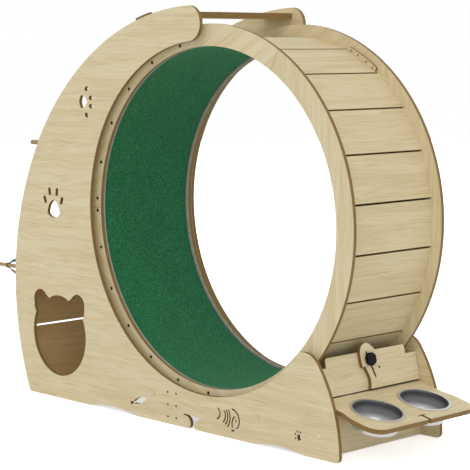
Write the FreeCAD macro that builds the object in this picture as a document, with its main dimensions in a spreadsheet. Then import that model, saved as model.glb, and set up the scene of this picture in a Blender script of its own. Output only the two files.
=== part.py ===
import FreeCAD, Part
import Sketcher
import math
import os
from types import SimpleNamespace

# Cat exercise wheel. Millimetres, +Z up, the wheel turns about Y, the front is at -Y, the tray is at +X.
# Side views are drawn in X and Z with x = 0 on the wheel's axis and z = 0 on the floor.
# Every placement then adds middle_shift, which puts the origin under the middle of the whole object.

sizes = {
    # wheel
    "wheel_radius": 500.0,
    "wheel_width": 336.0,
    "ring_width": 57.0,
    "ring_thickness": 10.0,
    "ring_segments": 3,
    "ring_seam_angle": 60.0,
    "seam_gap": 0.6,
    "plank_count": 24,
    "plank_inset": 34.0,
    "plank_thickness": 10.0,
    "plank_gap": 2.2,
    "joint_plate_rise": 14.0,
    "joint_plate_thickness": 6.0,
    "joint_plate_half_angle": 6.6,
    "carpet_thickness": 9.0,
    "edge_strip_thickness": 11.0,
    "edge_strip_width": 6.5,
    "soft_clearance": 0.3,
    # side panels
    "ground_clearance": 55.0,
    "side_gap": 16.0,
    "panel_thickness": 10.0,
    "hole_step": 15.0,
    "horn_width": 89.0,
    "horn_nose_offset": 49.0,
    "arc_centre_x": -20.0,
    "arc_centre_z": 310.0,
    "toe_inset": 21.0,
    "toe_radius": 387.0,
    "low_horn_z": 229.0,
    "low_horn_tip_z": 255.0,
    "low_horn_inset": 91.0,
    "low_horn_nose_radius": 58.0,
    "foot_corner_radius": 14.0,
    "left_arch_start": -478.0,
    "left_arch_end": -266.0,
    "left_arch_rise": 11.0,
    "right_arch_start": 181.0,
    "right_arch_end": 367.0,
    "right_arch_rise": 9.0,
    # hooked notches
    "panel_notch_x": -44.0,
    "panel_notch_neck": 13.0,
    "panel_notch_depth": 37.0,
    "panel_notch_left": 35.0,
    "panel_notch_right": 31.0,
    "panel_notch_corner": 13.0,
    "tray_notch_y": 3.0,
    "tray_notch_neck": 9.0,
    "tray_notch_depth": 30.0,
    "tray_notch_slot": 5.0,
    "tray_notch_span": 36.0,
    # cut-outs
    "den_head_x": -606.0,
    "den_head_z": 185.0,
    "den_head_radius": 120.0,
    "den_neck_half": 107.0,
    "den_ear_out": 115.0,
    "den_ear_out_z": 83.0,
    "den_ear_in": 60.0,
    "den_ear_in_z": 109.0,
    "den_ear_radius": 31.0,
    "den_brow_half": 45.0,
    "den_brow_z": 99.0,
    "den_brow_radius": 90.0,
    "big_paw_x": -624.0,
    "big_paw_z": 540.0,
    "high_paw_x": -484.0,
    "high_paw_z": 848.0,
    "low_paw_x": 346.0,
    "low_paw_z": 43.0,
    "big_paw_pad": 29.0,
    "big_paw_reach": 54.0,
    "big_paw_toe": 5.6,
    "high_paw_pad": 19.0,
    "high_paw_reach": 37.0,
    "high_paw_toe": 6.0,
    "low_paw_pad": 8.5,
    "low_paw_reach": 15.0,
    "low_paw_toe": 1.8,
    "small_fish_x": -226.0,
    "small_fish_z": 55.0,
    "small_fish_length": 58.0,
    "small_fish_radius": 60.0,
    "small_fish_tail": 15.0,
    "small_fish_tilt": 18.5,
    "bone_fish_x": 101.5,
    "bone_fish_z": 49.0,
    "bone_slit": 4.0,
    "bone_pitch": 8.5,
    "bone_eye_radius": 2.6,
    "drill_radius": 3.0,
    "drill_pitch": 33.0,
    "drill_x": -124.0,
    "drill_z": 52.0,
    # rollers
    "roller_angle": 22.5,
    "roller_tread_radius": 22.5,
    "roller_flange_rise": 5.5,
    "roller_groove_width": 12.0,
    "roller_width": 20.0,
    "roller_clearance": 0.3,
    "bearing_radius": 11.0,
    "bearing_width": 7.0,
    "bearing_bore_clearance": 0.03,
    "bearing_seat_clearance": 0.04,
    "axle_radius": 4.0,
    "axle_head_radius": 7.0,
    "axle_head_height": 1.6,
    "axle_end_gap": 0.25,
    "washer_thickness": 1.5,
    "washer_radius": 7.5,
    "nut_height": 6.5,
    "nut_flat_radius": 6.5,
    "spacer_radius": 6.5,
    "bolt_hole_clearance": 0.1,
    # boards between the panels
    "crossbar_x": -100.0,
    "crossbar_drop": 23.5,
    "crossbar_width": 106.0,
    "crossbar_thickness": 15.0,
    "trim_start_angle": 103.0,
    "trim_end_angle": 107.2,
    "trim_thickness": 5.0,
    "platform_z": 724.5,
    "platform_thickness": 18.0,
    "platform_wheel_gap": 17.0,
    "board_edge_inset": 4.0,
    "roof_z": 352.0,
    "roof_thickness": 15.0,
    "roof_wheel_gap": 15.0,
    "end_board_thickness": 10.0,
    "end_board_inset": 6.0,
    "lower_end_board_z": 102.5,
    "lower_end_board_length": 160.0,
    "end_board_slit": 5.5,
    "end_board_roof_gap": 0.3,
    "den_floor_x": -596.0,
    "den_floor_z": 14.0,
    "den_floor_width": 290.0,
    "inner_board_angle": 42.7,
    "inner_board_width": 180.0,
    "stretcher_angle": 35.1,
    "stretcher_width": 100.0,
    "low_board_wheel_gap": 65.0,
    "low_board_thickness": 12.0,
    "apron_x": 412.0,
    "apron_thickness": 12.0,
    "apron_floor_gap": 2.0,
    "screw_radius": 2.5,
    "screw_head_radius": 5.0,
    "screw_head_height": 0.8,
    "screw_bite": 26.0,
    "screw_clearance": 0.1,
    # tray and bowls
    "tray_x": 475.0,
    "tray_z": 125.0,
    "tray_tilt": 13.0,
    "tray_thickness": 12.0,
    "tray_inside": 70.0,
    "tray_outside": 124.0,
    "tray_flare": 8.0,
    "tray_flare_start": 8.0,
    "tray_corner_radius": 42.0,
    "fit_gap": 0.3,
    "bowl_out": 32.0,
    "bowl_spacing": 176.0,
    "bowl_mouth_radius": 62.5,
    "bowl_rim_width": 6.5,
    "bowl_hole_clearance": 1.5,
    "bowl_floor_radius": 58.0,
    "bowl_depth": 47.0,
    "bowl_wall": 1.2,
    # wheel lock
    "lock_x": 403.0,
    "lock_z": 143.2,
    "lock_lean": 13.0,
    "lock_board_height": 96.0,
    "lock_board_thickness": 10.0,
    "lock_notch_width": 42.0,
    "lock_notch_height": 24.0,
    "slider_thickness": 10.0,
    "slider_foot": 1.0,
    "slider_side_gap": 1.0,
    "slot_tilt": 18.0,
    "slot_half_width": 2.7,
    "slot_up": 19.0,
    "slot_down": 48.0,
    "knob_y": 4.0,
    "knob_height": 74.5,
    "knob_radius": 16.5,
    "knob_thickness": 8.5,
    "knob_lobes": 6,
    "knob_scallop_radius": 4.0,
    "knob_hub_radius": 8.0,
    "knob_hub_height": 1.0,
    "lock_bolt_radius": 2.5,
    "lock_bolt_head_radius": 6.5,
    "lock_bolt_head_height": 3.0,
    "fish_head_height": 117.0,
    # toys on the left edge
    "toy_y": -150.0,
    "spigot_radius": 4.0,
    "spigot_length": 24.0,
    "spigot_clearance": 0.06,
    "rod_radius": 6.0,
    "rod_length": 149.0,
    "collar_radius": 8.5,
    "collar_length": 9.0,
    "collar_place": 95.0,
    "feather_length": 52.0,
    "feather_radius": 58.0,
    "feather_thickness": 1.6,
    "feather_spread": 27.0,
    "peg_radius": 7.0,
    "peg_length": 94.0,
}

doc = FreeCAD.newDocument("CatExerciseWheel")
sheet = doc.addObject("Spreadsheet::Sheet", "Sizes")
for row, (size_name, size_value) in enumerate(sizes.items(), start=1):
    sheet.set(f"A{row}", size_name)
    sheet.set(f"B{row}", str(size_value))
    sheet.setAlias(f"B{row}", size_name)
doc.recompute()


class Size:
    """A number together with the sheet formula that gives it."""

    def __init__(self, value, formula):
        self.value = float(value)
        self.formula = formula

    def __float__(self):
        return self.value

    def __add__(self, other):
        return Size(self.value + float(other), f"({self.formula} + {formula_of(other)})")

    def __radd__(self, other):
        return Size(float(other) + self.value, f"({formula_of(other)} + {self.formula})")

    def __sub__(self, other):
        return Size(self.value - float(other), f"({self.formula} - {formula_of(other)})")

    def __rsub__(self, other):
        return Size(float(other) - self.value, f"({formula_of(other)} - {self.formula})")

    def __mul__(self, other):
        return Size(self.value * float(other), f"({self.formula} * {formula_of(other)})")

    def __rmul__(self, other):
        return Size(float(other) * self.value, f"({formula_of(other)} * {self.formula})")

    def __truediv__(self, other):
        return Size(self.value / float(other), f"({self.formula} / {formula_of(other)})")

    def __neg__(self):
        return Size(-self.value, f"(0 - {self.formula})")


def formula_of(size):
    if isinstance(size, Size):
        return size.formula
    return f"({float(size):.6f})"


def root(size):
    return Size(math.sqrt(float(size)), f"sqrt({formula_of(size)})")


def cosine(degrees):
    return Size(math.cos(math.radians(float(degrees))), f"cos({formula_of(degrees)})")


def sine(degrees):
    return Size(math.sin(math.radians(float(degrees))), f"sin({formula_of(degrees)})")


def tangent(degrees):
    return Size(math.tan(math.radians(float(degrees))), f"tan({formula_of(degrees)})")


def turned(x, z, degrees):
    """A point turned about the origin of its drawing."""
    return x * cosine(degrees) - z * sine(degrees), x * sine(degrees) + z * cosine(degrees)


d = SimpleNamespace(**{key: Size(value, f"Sizes.{key}") for key, value in sizes.items()})

# ---- places worked out from the sizes ----
axis_z = d.wheel_radius + d.ground_clearance
ring_inner = d.wheel_radius - d.ring_width
plank_outer = d.wheel_radius - d.plank_inset
plank_inner = plank_outer - d.plank_thickness
half_wheel = d.wheel_width / 2
half_tread = half_wheel - d.ring_thickness
inner_face = half_wheel + d.side_gap
outer_face = inner_face + d.panel_thickness
hole_radius = ring_inner + d.hole_step
panel_top = axis_z + hole_radius + d.horn_width
panel_radius = panel_top - d.arc_centre_z
axle_reach = d.wheel_radius + d.roller_tread_radius + d.roller_clearance
axle_x = axle_reach * sine(d.roller_angle)
axle_z = axis_z - axle_reach * cosine(d.roller_angle)
roller_y = half_wheel - d.ring_thickness / 2


def arc_left(z, inset):
    """x of the panels' left outline, drawn in by inset, at height z."""
    reach = panel_radius - inset
    rise = z - d.arc_centre_z
    return d.arc_centre_x - root(reach * reach - rise * rise)


def wheel_left(z, gap):
    """x of the wheel's left side, kept gap away, at height z."""
    reach = d.wheel_radius
    rise = z - axis_z
    return -root(reach * reach - rise * rise) - gap


roof_left = arc_left(d.roof_z, d.board_edge_inset)
platform_left = arc_left(d.platform_z + d.platform_thickness / 2, d.board_edge_inset)
object_left = roof_left - d.rod_length
object_right = d.tray_x + d.tray_outside * cosine(d.tray_tilt)
middle_shift = -(object_left + object_right) / 2


# ---- drawing helpers ----
def bind(thing, where, size):
    thing.setExpression(where, formula_of(size))


def new_body(name, several=False):
    body = doc.addObject("PartDesign::Body", name)
    body.Label = name
    body.AllowCompound = several
    return body


def origin_feature(body, role):
    for feature in body.Origin.OriginFeatures:
        if feature.Role == role:
            return feature
    raise ValueError(role)


def new_sketch(body, name, role="XZ_Plane", offset=0):
    """An XZ sketch faces -Y, so an offset of +a lies at y = -a."""
    sketch = body.newObject("Sketcher::SketchObject", name)
    sketch.AttachmentSupport = [(origin_feature(body, role), "")]
    sketch.MapMode = "FlatFace"
    bind(sketch, "AttachmentOffset.Base.z", offset)
    return sketch


def radius_of(geometry, radius):
    size = radius if float(radius) > 0 else -radius
    return [(Sketcher.Constraint("Radius", geometry, float(size)), size)]


def point_at(geometry, end, x, y):
    """What holds one point of a sketch at (x, y)."""
    held = []
    for kind, size, axis in (("DistanceX", x, -2), ("DistanceY", y, -1)):
        if abs(float(size)) < 1e-9:
            held.append((Sketcher.Constraint("PointOnObject", geometry, end, axis), None))
        else:
            held.append((Sketcher.Constraint(kind, -1, 1, geometry, end, float(size)), size))
    return held


def hold(sketch, held):
    """Add the constraints in one go, then bind each size to its formula."""
    indices = sketch.addConstraint([constraint for constraint, _ in held])
    for index, (_, size) in zip(indices, held):
        if size is not None:
            bind(sketch, f"Constraints[{index}]", size)


def draw_circle(sketch, x, y, radius):
    centre = FreeCAD.Vector(float(x), float(y), 0)
    circle = sketch.addGeometry(Part.Circle(centre, FreeCAD.Vector(0, 0, 1), float(radius)), False)
    hold(sketch, point_at(circle, 3, x, y) + radius_of(circle, radius))


def arc_between(start, end, radius):
    """The short arc from start to end; a positive radius turns left on the way."""
    middle = (start + end) / 2
    chord = end - start
    left = FreeCAD.Vector(-chord.y, chord.x, 0).normalize()
    height = math.sqrt(max(radius * radius - chord.Length ** 2 / 4, 0))
    centre = middle + left * math.copysign(height, radius)
    first, last = (start, end) if radius > 0 else (end, start)
    first_angle = math.atan2(first.y - centre.y, first.x - centre.x)
    last_angle = math.atan2(last.y - centre.y, last.x - centre.x)
    circle = Part.Circle(centre, FreeCAD.Vector(0, 0, 1), abs(radius))
    return Part.ArcOfCircle(circle, first_angle, last_angle)


def draw_outline(sketch, corners):
    """A closed outline. Each corner is (x, y) or (x, y, radius of the arc to the next corner)."""
    ends = []
    held = []
    for corner, following in zip(corners, corners[1:] + corners[:1]):
        start = FreeCAD.Vector(float(corner[0]), float(corner[1]), 0)
        end = FreeCAD.Vector(float(following[0]), float(following[1]), 0)
        if len(corner) == 2:
            edge = sketch.addGeometry(Part.LineSegment(start, end), False)
            ends.append((edge, 1, 2))
            continue
        radius = corner[2]
        edge = sketch.addGeometry(arc_between(start, end, float(radius)), False)
        ends.append((edge, 1, 2) if float(radius) > 0 else (edge, 2, 1))
        held += radius_of(edge, radius)
    for corner, (edge, start_end, last_end), (next_edge, next_start, _) in zip(corners, ends, ends[1:] + ends[:1]):
        held.append((Sketcher.Constraint("Coincident", edge, last_end, next_edge, next_start), None))
        held += point_at(edge, start_end, corner[0], corner[1])
    hold(sketch, held)


def draw_box(sketch, left, bottom, right, top):
    draw_outline(sketch, [(left, bottom), (right, bottom), (right, top), (left, top)])


def draw_slot(sketch, start, end, radius):
    """A round-ended slot whose end centres are start and end."""
    first = FreeCAD.Vector(float(start[0]), float(start[1]), 0)
    last = FreeCAD.Vector(float(end[0]), float(end[1]), 0)
    along = math.atan2(last.y - first.y, last.x - first.x)
    side = FreeCAD.Vector(-math.sin(along), math.cos(along), 0) * float(radius)
    up = FreeCAD.Vector(0, 0, 1)
    quarter = math.pi / 2
    cap = sketch.addGeometry(Part.ArcOfCircle(Part.Circle(first, up, float(radius)),
                                              along + quarter, along + 3 * quarter), False)
    base = sketch.addGeometry(Part.LineSegment(first - side, last - side), False)
    nose = sketch.addGeometry(Part.ArcOfCircle(Part.Circle(last, up, float(radius)),
                                               along - quarter, along + quarter), False)
    crown = sketch.addGeometry(Part.LineSegment(last + side, first + side), False)
    held = [(Sketcher.Constraint("Equal", cap, nose), None)]
    for one, one_end, two, two_end in ((cap, 2, base, 1), (base, 2, nose, 1), (nose, 2, crown, 1), (crown, 2, cap, 1)):
        held.append((Sketcher.Constraint("Tangent", one, one_end, two, two_end), None))
    held += point_at(cap, 3, start[0], start[1]) + point_at(nose, 3, end[0], end[1]) + radius_of(cap, radius)
    hold(sketch, held)


def pad(body, sketch, length, back=False):
    feature = body.newObject("PartDesign::Pad", sketch.Name + "Pad")
    feature.Profile = sketch
    feature.Reversed = back
    bind(feature, "Length", length)
    body.Tip = feature
    return feature


def pocket(body, sketch, length, back=False):
    feature = body.newObject("PartDesign::Pocket", sketch.Name + "Pocket")
    feature.Profile = sketch
    feature.Reversed = back
    bind(feature, "Length", length)
    body.Tip = feature
    return feature


def revolve(body, sketch):
    """A full turn about the sketch's own vertical axis."""
    feature = body.newObject("PartDesign::Revolution", sketch.Name + "Turn")
    feature.Profile = sketch
    feature.ReferenceAxis = (sketch, ["V_Axis"])
    feature.Angle = 360
    body.Tip = feature
    return feature


def repeat_round(body, features, role, count):
    doc.recompute()
    pattern = body.newObject("PartDesign::PolarPattern", body.Name + "Round")
    pattern.Originals = features
    pattern.Axis = (origin_feature(body, role), [""])
    pattern.Angle = 360
    bind(pattern, "Occurrences", count)
    body.Tip = pattern
    return pattern


def round_corners(body, feature, spots, radius):
    """Round the edges along Y that stand at the given (x, z) corners."""
    doc.recompute()
    chosen = []
    for number, edge in enumerate(feature.Shape.Edges, start=1):
        first, last = edge.firstVertex().Point, edge.lastVertex().Point
        for x, z in spots:
            near = all(abs(point.x - float(x)) < 0.01 and abs(point.z - float(z)) < 0.01 for point in (first, last))
            if near:
                chosen.append(f"Edge{number}")
    fillet = body.newObject("PartDesign::Fillet", body.Name + "Round")
    fillet.Base = (feature, chosen)
    bind(fillet, "Radius", radius)
    body.Tip = fillet
    return fillet


def place(body, x=0, y=0, z=0, axis=(0, 1, 0), angle=0):
    turn = FreeCAD.Rotation(FreeCAD.Vector(*axis), float(angle))
    base = FreeCAD.Vector(float(x + middle_shift), float(y), float(z))
    body.Placement = FreeCAD.Placement(base, turn)
    bind(body, "Placement.Base.x", x + middle_shift)
    bind(body, "Placement.Base.y", y)
    bind(body, "Placement.Base.z", z)


# ---- boards between the panels ----
screw_spots = []
sub_parts = []
screw_hole = d.screw_radius + d.screw_clearance


def drill_ends(body, spots):
    """Pilot holes in both ends of a piece that lies between the panels."""
    for end, offset, back in (("Front", inner_face, False), ("Back", -inner_face, True)):
        sketch = new_sketch(body, body.Name + end + "Holes", "XZ_Plane", offset)
        for x, z in spots:
            draw_circle(sketch, x, z, screw_hole)
        pocket(body, sketch, d.screw_bite + d.fit_gap, back)


def cross_board(name, x, z, width, thickness, angle, screws):
    """A board from panel to panel, drawn about its own middle and turned in the side view."""
    body = new_body(name)
    sketch = new_sketch(body, name + "Section", "XZ_Plane", -inner_face)
    draw_box(sketch, -width / 2, -thickness / 2, width / 2, thickness / 2)
    pad(body, sketch, inner_face * 2)
    if screws:
        drill_ends(body, [(screw, 0) for screw in screws])
    for screw in screws:
        along, rise = turned(Size(float(screw), formula_of(screw)), Size(0, "0"), angle)
        screw_spots.append((x + along, z + rise))
    place(body, x, 0, z, (0, -1, 0), angle)
    sub_parts.append(body)
    return body


crossbar_z = panel_top - d.crossbar_drop
cross_board("top_crossbar", d.crossbar_x, crossbar_z, d.crossbar_width, d.crossbar_thickness, Size(0, "0"),
            [-d.crossbar_width * 0.22, d.crossbar_width * 0.22])

platform_right = wheel_left(d.platform_z + d.platform_thickness / 2, d.platform_wheel_gap)
platform_width = platform_right - platform_left
platform = cross_board("rest_platform", (platform_left + platform_right) / 2, d.platform_z, platform_width,
                       d.platform_thickness, Size(0, "0"), [-platform_width / 4, platform_width / 4])

roof_right = wheel_left(d.roof_z + d.roof_thickness / 2, d.roof_wheel_gap)
roof_width = roof_right - roof_left
den_roof = cross_board("den_roof", (roof_left + roof_right) / 2, d.roof_z, roof_width, d.roof_thickness,
                       Size(0, "0"), [-roof_width * 0.3, roof_width * 0.3])


def drill_spigot_seat(board, half_width):
    """A blind hole for a turned spigot in a board's left edge."""
    sketch = new_sketch(board, board.Name + "SpigotSeat", "YZ_Plane", -half_width)
    draw_circle(sketch, d.toy_y, 0, d.spigot_radius + d.spigot_clearance)
    pocket(board, sketch, d.spigot_length + d.fit_gap, True)


drill_spigot_seat(platform, platform_width / 2)
drill_spigot_seat(den_roof, roof_width / 2)


def end_board(name, z, length):
    """A board just inside the panels' left outline, square to the outline's radius."""
    reach = panel_radius - d.end_board_inset - d.end_board_thickness / 2
    rise = z - d.arc_centre_z
    run = root(reach * reach - rise * rise)
    x = d.arc_centre_x - run
    angle = Size(math.degrees(math.atan2(float(run), float(rise))), f"atan2({run.formula}; {rise.formula})")
    cross_board(name, x, z, length, d.end_board_thickness, angle, [])


end_board("lower_end_board", d.lower_end_board_z, d.lower_end_board_length)
lower_end_top = d.lower_end_board_z + d.lower_end_board_length / 2 * 0.964
upper_end_bottom = lower_end_top + d.end_board_slit
upper_end_top = d.roof_z - d.roof_thickness / 2 - d.end_board_roof_gap
end_board("upper_end_board", (upper_end_bottom + upper_end_top) / 2, (upper_end_top - upper_end_bottom) * 1.0)

cross_board("den_floor", d.den_floor_x, d.den_floor_z, d.den_floor_width, d.low_board_thickness, Size(0, "0"),
            [d.den_floor_width * 0.05])

low_board_reach = d.wheel_radius + d.low_board_wheel_gap + d.low_board_thickness / 2
cross_board("den_inner_board", -low_board_reach * sine(d.inner_board_angle),
            axis_z - low_board_reach * cosine(d.inner_board_angle), d.inner_board_width, d.low_board_thickness,
            -d.inner_board_angle, [-d.inner_board_width * 0.35, d.inner_board_width * 0.35])
cross_board("right_stretcher", low_board_reach * sine(d.stretcher_angle),
            axis_z - low_board_reach * cosine(d.stretcher_angle), d.stretcher_width, d.low_board_thickness,
            d.stretcher_angle, [Size(0, "0")])

tray_slope = tangent(d.tray_tilt)
apron_face = d.apron_x + d.apron_thickness / 2
apron_top = (d.tray_z + (d.tray_x - apron_face) * tray_slope - d.tray_thickness / cosine(d.tray_tilt)
             - d.fit_gap)
apron_height = apron_top - d.apron_floor_gap
cross_board("apron_board", d.apron_x, d.apron_floor_gap + apron_height / 2, apron_height, d.apron_thickness,
            Size(90, "90"), [-apron_height * 0.05])

# ---- feeding tray: its own frame lies on its top face, x outward and down the slope ----
tray = new_body("feeding_tray")
half_inside = inner_face - d.fit_gap
half_outside = inner_face + d.tray_flare
corner_x = d.tray_outside - d.tray_corner_radius
corner_y = half_outside - d.tray_corner_radius
flare_end = d.tray_flare_start + d.tray_flare * 4
notch_low = d.tray_notch_y - d.tray_notch_neck / 2
notch_high = d.tray_notch_y + d.tray_notch_neck / 2
notch_floor = d.tray_outside - d.tray_notch_depth
notch_lip = notch_floor + d.tray_notch_slot
notch_far = d.tray_notch_y + d.tray_notch_span / 2
notch_near = d.tray_notch_y - d.tray_notch_span / 2
tray_sketch = new_sketch(tray, "TrayOutline", "XY_Plane")
draw_outline(tray_sketch, [
    (-d.tray_inside, -half_inside), (d.tray_flare_start, -half_inside),
    (d.tray_flare_start, -half_inside - d.fit_gap), (flare_end, -half_outside),
    (corner_x, -half_outside, d.tray_corner_radius), (d.tray_outside, -corner_y),
    (d.tray_outside, notch_low), (notch_lip, notch_low), (notch_lip, notch_near),
    (notch_floor, notch_low), (notch_floor, notch_high), (notch_lip, notch_far),
    (notch_lip, notch_high), (d.tray_outside, notch_high),
    (d.tray_outside, corner_y, d.tray_corner_radius), (corner_x, half_outside), (flare_end, half_outside),
    (d.tray_flare_start, half_inside + d.fit_gap), (d.tray_flare_start, half_inside), (-d.tray_inside, half_inside)])
tray_pad = pad(tray, tray_sketch, d.tray_thickness, back=True)
bowl_holes = new_sketch(tray, "BowlHoles", "XY_Plane")
bowl_y = d.bowl_spacing / 2
for side in (-1, 1):
    draw_circle(bowl_holes, d.bowl_out, bowl_y * side, d.bowl_mouth_radius + d.bowl_hole_clearance)
pocket(tray, bowl_holes, d.tray_thickness)
tray_screw = (-d.tray_inside * 0.6, -d.tray_thickness / 2)
tray_holes = []
for end, offset, back in (("Front", half_inside, False), ("Back", -half_inside, True)):
    holes = new_sketch(tray, "Tray" + end + "Holes", "XZ_Plane", offset)
    draw_circle(holes, tray_screw[0], tray_screw[1], screw_hole)
    pocket(tray, holes, d.screw_bite, back)
place(tray, d.tray_x, 0, d.tray_z, (0, 1, 0), d.tray_tilt)
sub_parts.append(tray)


def tray_point(out, up):
    """World x and z of a point given along and above the tray's top face."""
    along, rise = turned(out, up, -d.tray_tilt)
    return d.tray_x + along, d.tray_z + rise


screw_spots.append(tray_point(*tray_screw))

# ---- bowls: turned sheet steel, rim resting on the tray ----
for name, side in (("front_bowl", -1), ("rear_bowl", 1)):
    bowl = new_body(name)
    section = new_sketch(bowl, name + "Section", "XZ_Plane")
    mouth = d.bowl_mouth_radius
    rim = mouth + d.bowl_rim_width
    base = d.fit_gap
    draw_outline(section, [
        (Size(0, "0"), -d.bowl_depth), (d.bowl_floor_radius - 9, -d.bowl_depth, Size(9.5, "9.5")),
        (d.bowl_floor_radius, -d.bowl_depth + 7, Size(80, "80")), (mouth - d.bowl_wall, base - 4),
        (mouth, base), (rim - 1, base, Size(1.6, "1.6")), (rim - 1, base + 2 * d.bowl_wall),
        (mouth, base + 2 * d.bowl_wall, Size(4, "4")), (mouth - 2 * d.bowl_wall, base - 4, -Size(78.8, "78.8")),
        (d.bowl_floor_radius - d.bowl_wall, -d.bowl_depth + 7 + d.bowl_wall, -Size(8.3, "8.3")),
        (d.bowl_floor_radius - 9, -d.bowl_depth + d.bowl_wall), (Size(0, "0"), -d.bowl_depth + d.bowl_wall)])
    revolve(bowl, section)
    bowl_x, bowl_z = tray_point(d.bowl_out, Size(0, "0"))
    place(bowl, bowl_x, bowl_y * side, bowl_z, (0, 1, 0), d.tray_tilt)
    sub_parts.append(bowl)

# ---- wheel lock: its frame lies on the fixed board's front face, z up the lean and x out of the face ----
half_board = inner_face
notch_y = half_board - d.lock_notch_width
notch_z = d.lock_board_height - d.lock_notch_height


def lock_point(out, up):
    """World x and z of a point given out of and up the lock board's face."""
    along, rise = turned(out, up, d.lock_lean)
    return d.lock_x + along, d.lock_z + rise


def place_on_lock(body, out=Size(0, "0"), y=Size(0, "0"), up=Size(0, "0")):
    x, z = lock_point(out, up)
    place(body, x, y, z, (0, -1, 0), d.lock_lean)
    sub_parts.append(body)


backboard = new_body("lock_backboard")
backboard_sketch = new_sketch(backboard, "BackboardOutline", "YZ_Plane")
draw_outline(backboard_sketch, [
    (-half_board, Size(0, "0")), (half_board, Size(0, "0")), (half_board, notch_z), (notch_y, notch_z),
    (notch_y, d.lock_board_height - 8, Size(8.01, "8.01")), (notch_y - 8, d.lock_board_height),
    (-notch_y + 8, d.lock_board_height, Size(8.01, "8.01")), (-notch_y, d.lock_board_height - 8),
    (-notch_y, notch_z), (-half_board, notch_z)])
pad(backboard, backboard_sketch, d.lock_board_thickness, back=True)
lock_bolt_hole = new_sketch(backboard, "LockBoltHole", "YZ_Plane")
draw_circle(lock_bolt_hole, d.knob_y, d.knob_height, d.lock_bolt_radius + d.bolt_hole_clearance)
pocket(backboard, lock_bolt_hole, d.lock_board_thickness)
backboard_screw = (-d.lock_board_thickness / 2, d.lock_board_height * 0.4)
drill_ends(backboard, [backboard_screw])
screw_spots.append(lock_point(*backboard_screw))
place_on_lock(backboard)

slider = new_body("fish_slider")
slider_sketch = new_sketch(slider, "FishOutline", "YZ_Plane", d.fit_gap)
slider_right = half_board - d.slider_side_gap
fish_x = Size(-20, "(-20)")
draw_outline(slider_sketch, [
    (Size(-5, "(-5)"), d.slider_foot), (slider_right, d.slider_foot), (slider_right, notch_z), (notch_y, notch_z),
    (notch_y, d.lock_board_height - 8, Size(8.01, "8.01")), (notch_y - 8, d.lock_board_height),
    (Size(30, "30"), d.lock_board_height, Size(60, "60")), (Size(3, "3"), d.fish_head_height, Size(26, "26")),
    (Size(-24, "(-24)"), d.lock_board_height, Size(120, "120")), (Size(-22, "(-22)"), Size(56, "56")),
    (Size(-14, "(-14)"), Size(60, "60")), (Size(-2, "(-2)"), Size(32, "32"), -Size(45, "45"))])
pad(slider, slider_sketch, d.slider_thickness)
slot_sketch = new_sketch(slider, "LockSlot", "YZ_Plane", d.fit_gap)
slot_dy = sine(d.slot_tilt)
slot_dz = cosine(d.slot_tilt)
draw_slot(slot_sketch, (d.knob_y + d.slot_down * slot_dy, d.knob_height - d.slot_down * slot_dz),
          (d.knob_y - d.slot_up * slot_dy, d.knob_height + d.slot_up * slot_dz), d.slot_half_width)
pocket(slider, slot_sketch, d.slider_thickness, back=True)
place_on_lock(slider)

slider_face = d.fit_gap + d.slider_thickness
washer_face = slider_face + d.fit_gap + d.washer_thickness
knob_back = washer_face + d.fit_gap
bolt_end = knob_back + d.knob_hub_height + d.knob_thickness * 0.6
bolt_bore = d.lock_bolt_radius + d.bolt_hole_clearance / 2

lock_washer = new_body("lock_washer")
washer_sketch = new_sketch(lock_washer, "LockWasherSection", "YZ_Plane", slider_face + d.fit_gap)
draw_circle(washer_sketch, Size(0, "0"), Size(0, "0"), d.knob_hub_radius)
draw_circle(washer_sketch, Size(0, "0"), Size(0, "0"), bolt_bore)
pad(lock_washer, washer_sketch, d.washer_thickness)
place_on_lock(lock_washer, y=d.knob_y, up=d.knob_height)

knob = new_body("lock_knob")
hub_sketch = new_sketch(knob, "KnobHub", "YZ_Plane", knob_back)
draw_circle(hub_sketch, Size(0, "0"), Size(0, "0"), d.knob_hub_radius)
pad(knob, hub_sketch, d.knob_hub_height)
disc_sketch = new_sketch(knob, "KnobDisc", "YZ_Plane", knob_back + d.knob_hub_height)
draw_circle(disc_sketch, Size(0, "0"), Size(0, "0"), d.knob_radius)
pad(knob, disc_sketch, d.knob_thickness)
scallop_sketch = new_sketch(knob, "KnobScallop", "YZ_Plane", knob_back + d.knob_hub_height)
draw_circle(scallop_sketch, d.knob_radius + d.knob_scallop_radius * 0.55, Size(0, "0"), d.knob_scallop_radius)
scallop = pocket(knob, scallop_sketch, d.knob_thickness, back=True)
repeat_round(knob, [scallop], "X_Axis", d.knob_lobes)
bore_sketch = new_sketch(knob, "KnobBore", "YZ_Plane", knob_back)
draw_circle(bore_sketch, Size(0, "0"), Size(0, "0"), bolt_bore)
pocket(knob, bore_sketch, bolt_end - knob_back + d.fit_gap, back=True)
place_on_lock(knob, y=d.knob_y, up=d.knob_height)

lock_bolt = new_body("lock_bolt")
bolt_head_sketch = new_sketch(lock_bolt, "LockBoltHead", "YZ_Plane", -d.lock_board_thickness)
draw_circle(bolt_head_sketch, Size(0, "0"), Size(0, "0"), d.lock_bolt_head_radius)
pad(lock_bolt, bolt_head_sketch, d.lock_bolt_head_height, back=True)
bolt_shank_sketch = new_sketch(lock_bolt, "LockBoltShank", "YZ_Plane", -d.lock_board_thickness)
draw_circle(bolt_shank_sketch, Size(0, "0"), Size(0, "0"), d.lock_bolt_radius)
pad(lock_bolt, bolt_shank_sketch, d.lock_board_thickness + bolt_end)
place_on_lock(lock_bolt, y=d.knob_y, up=d.knob_height)


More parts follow.
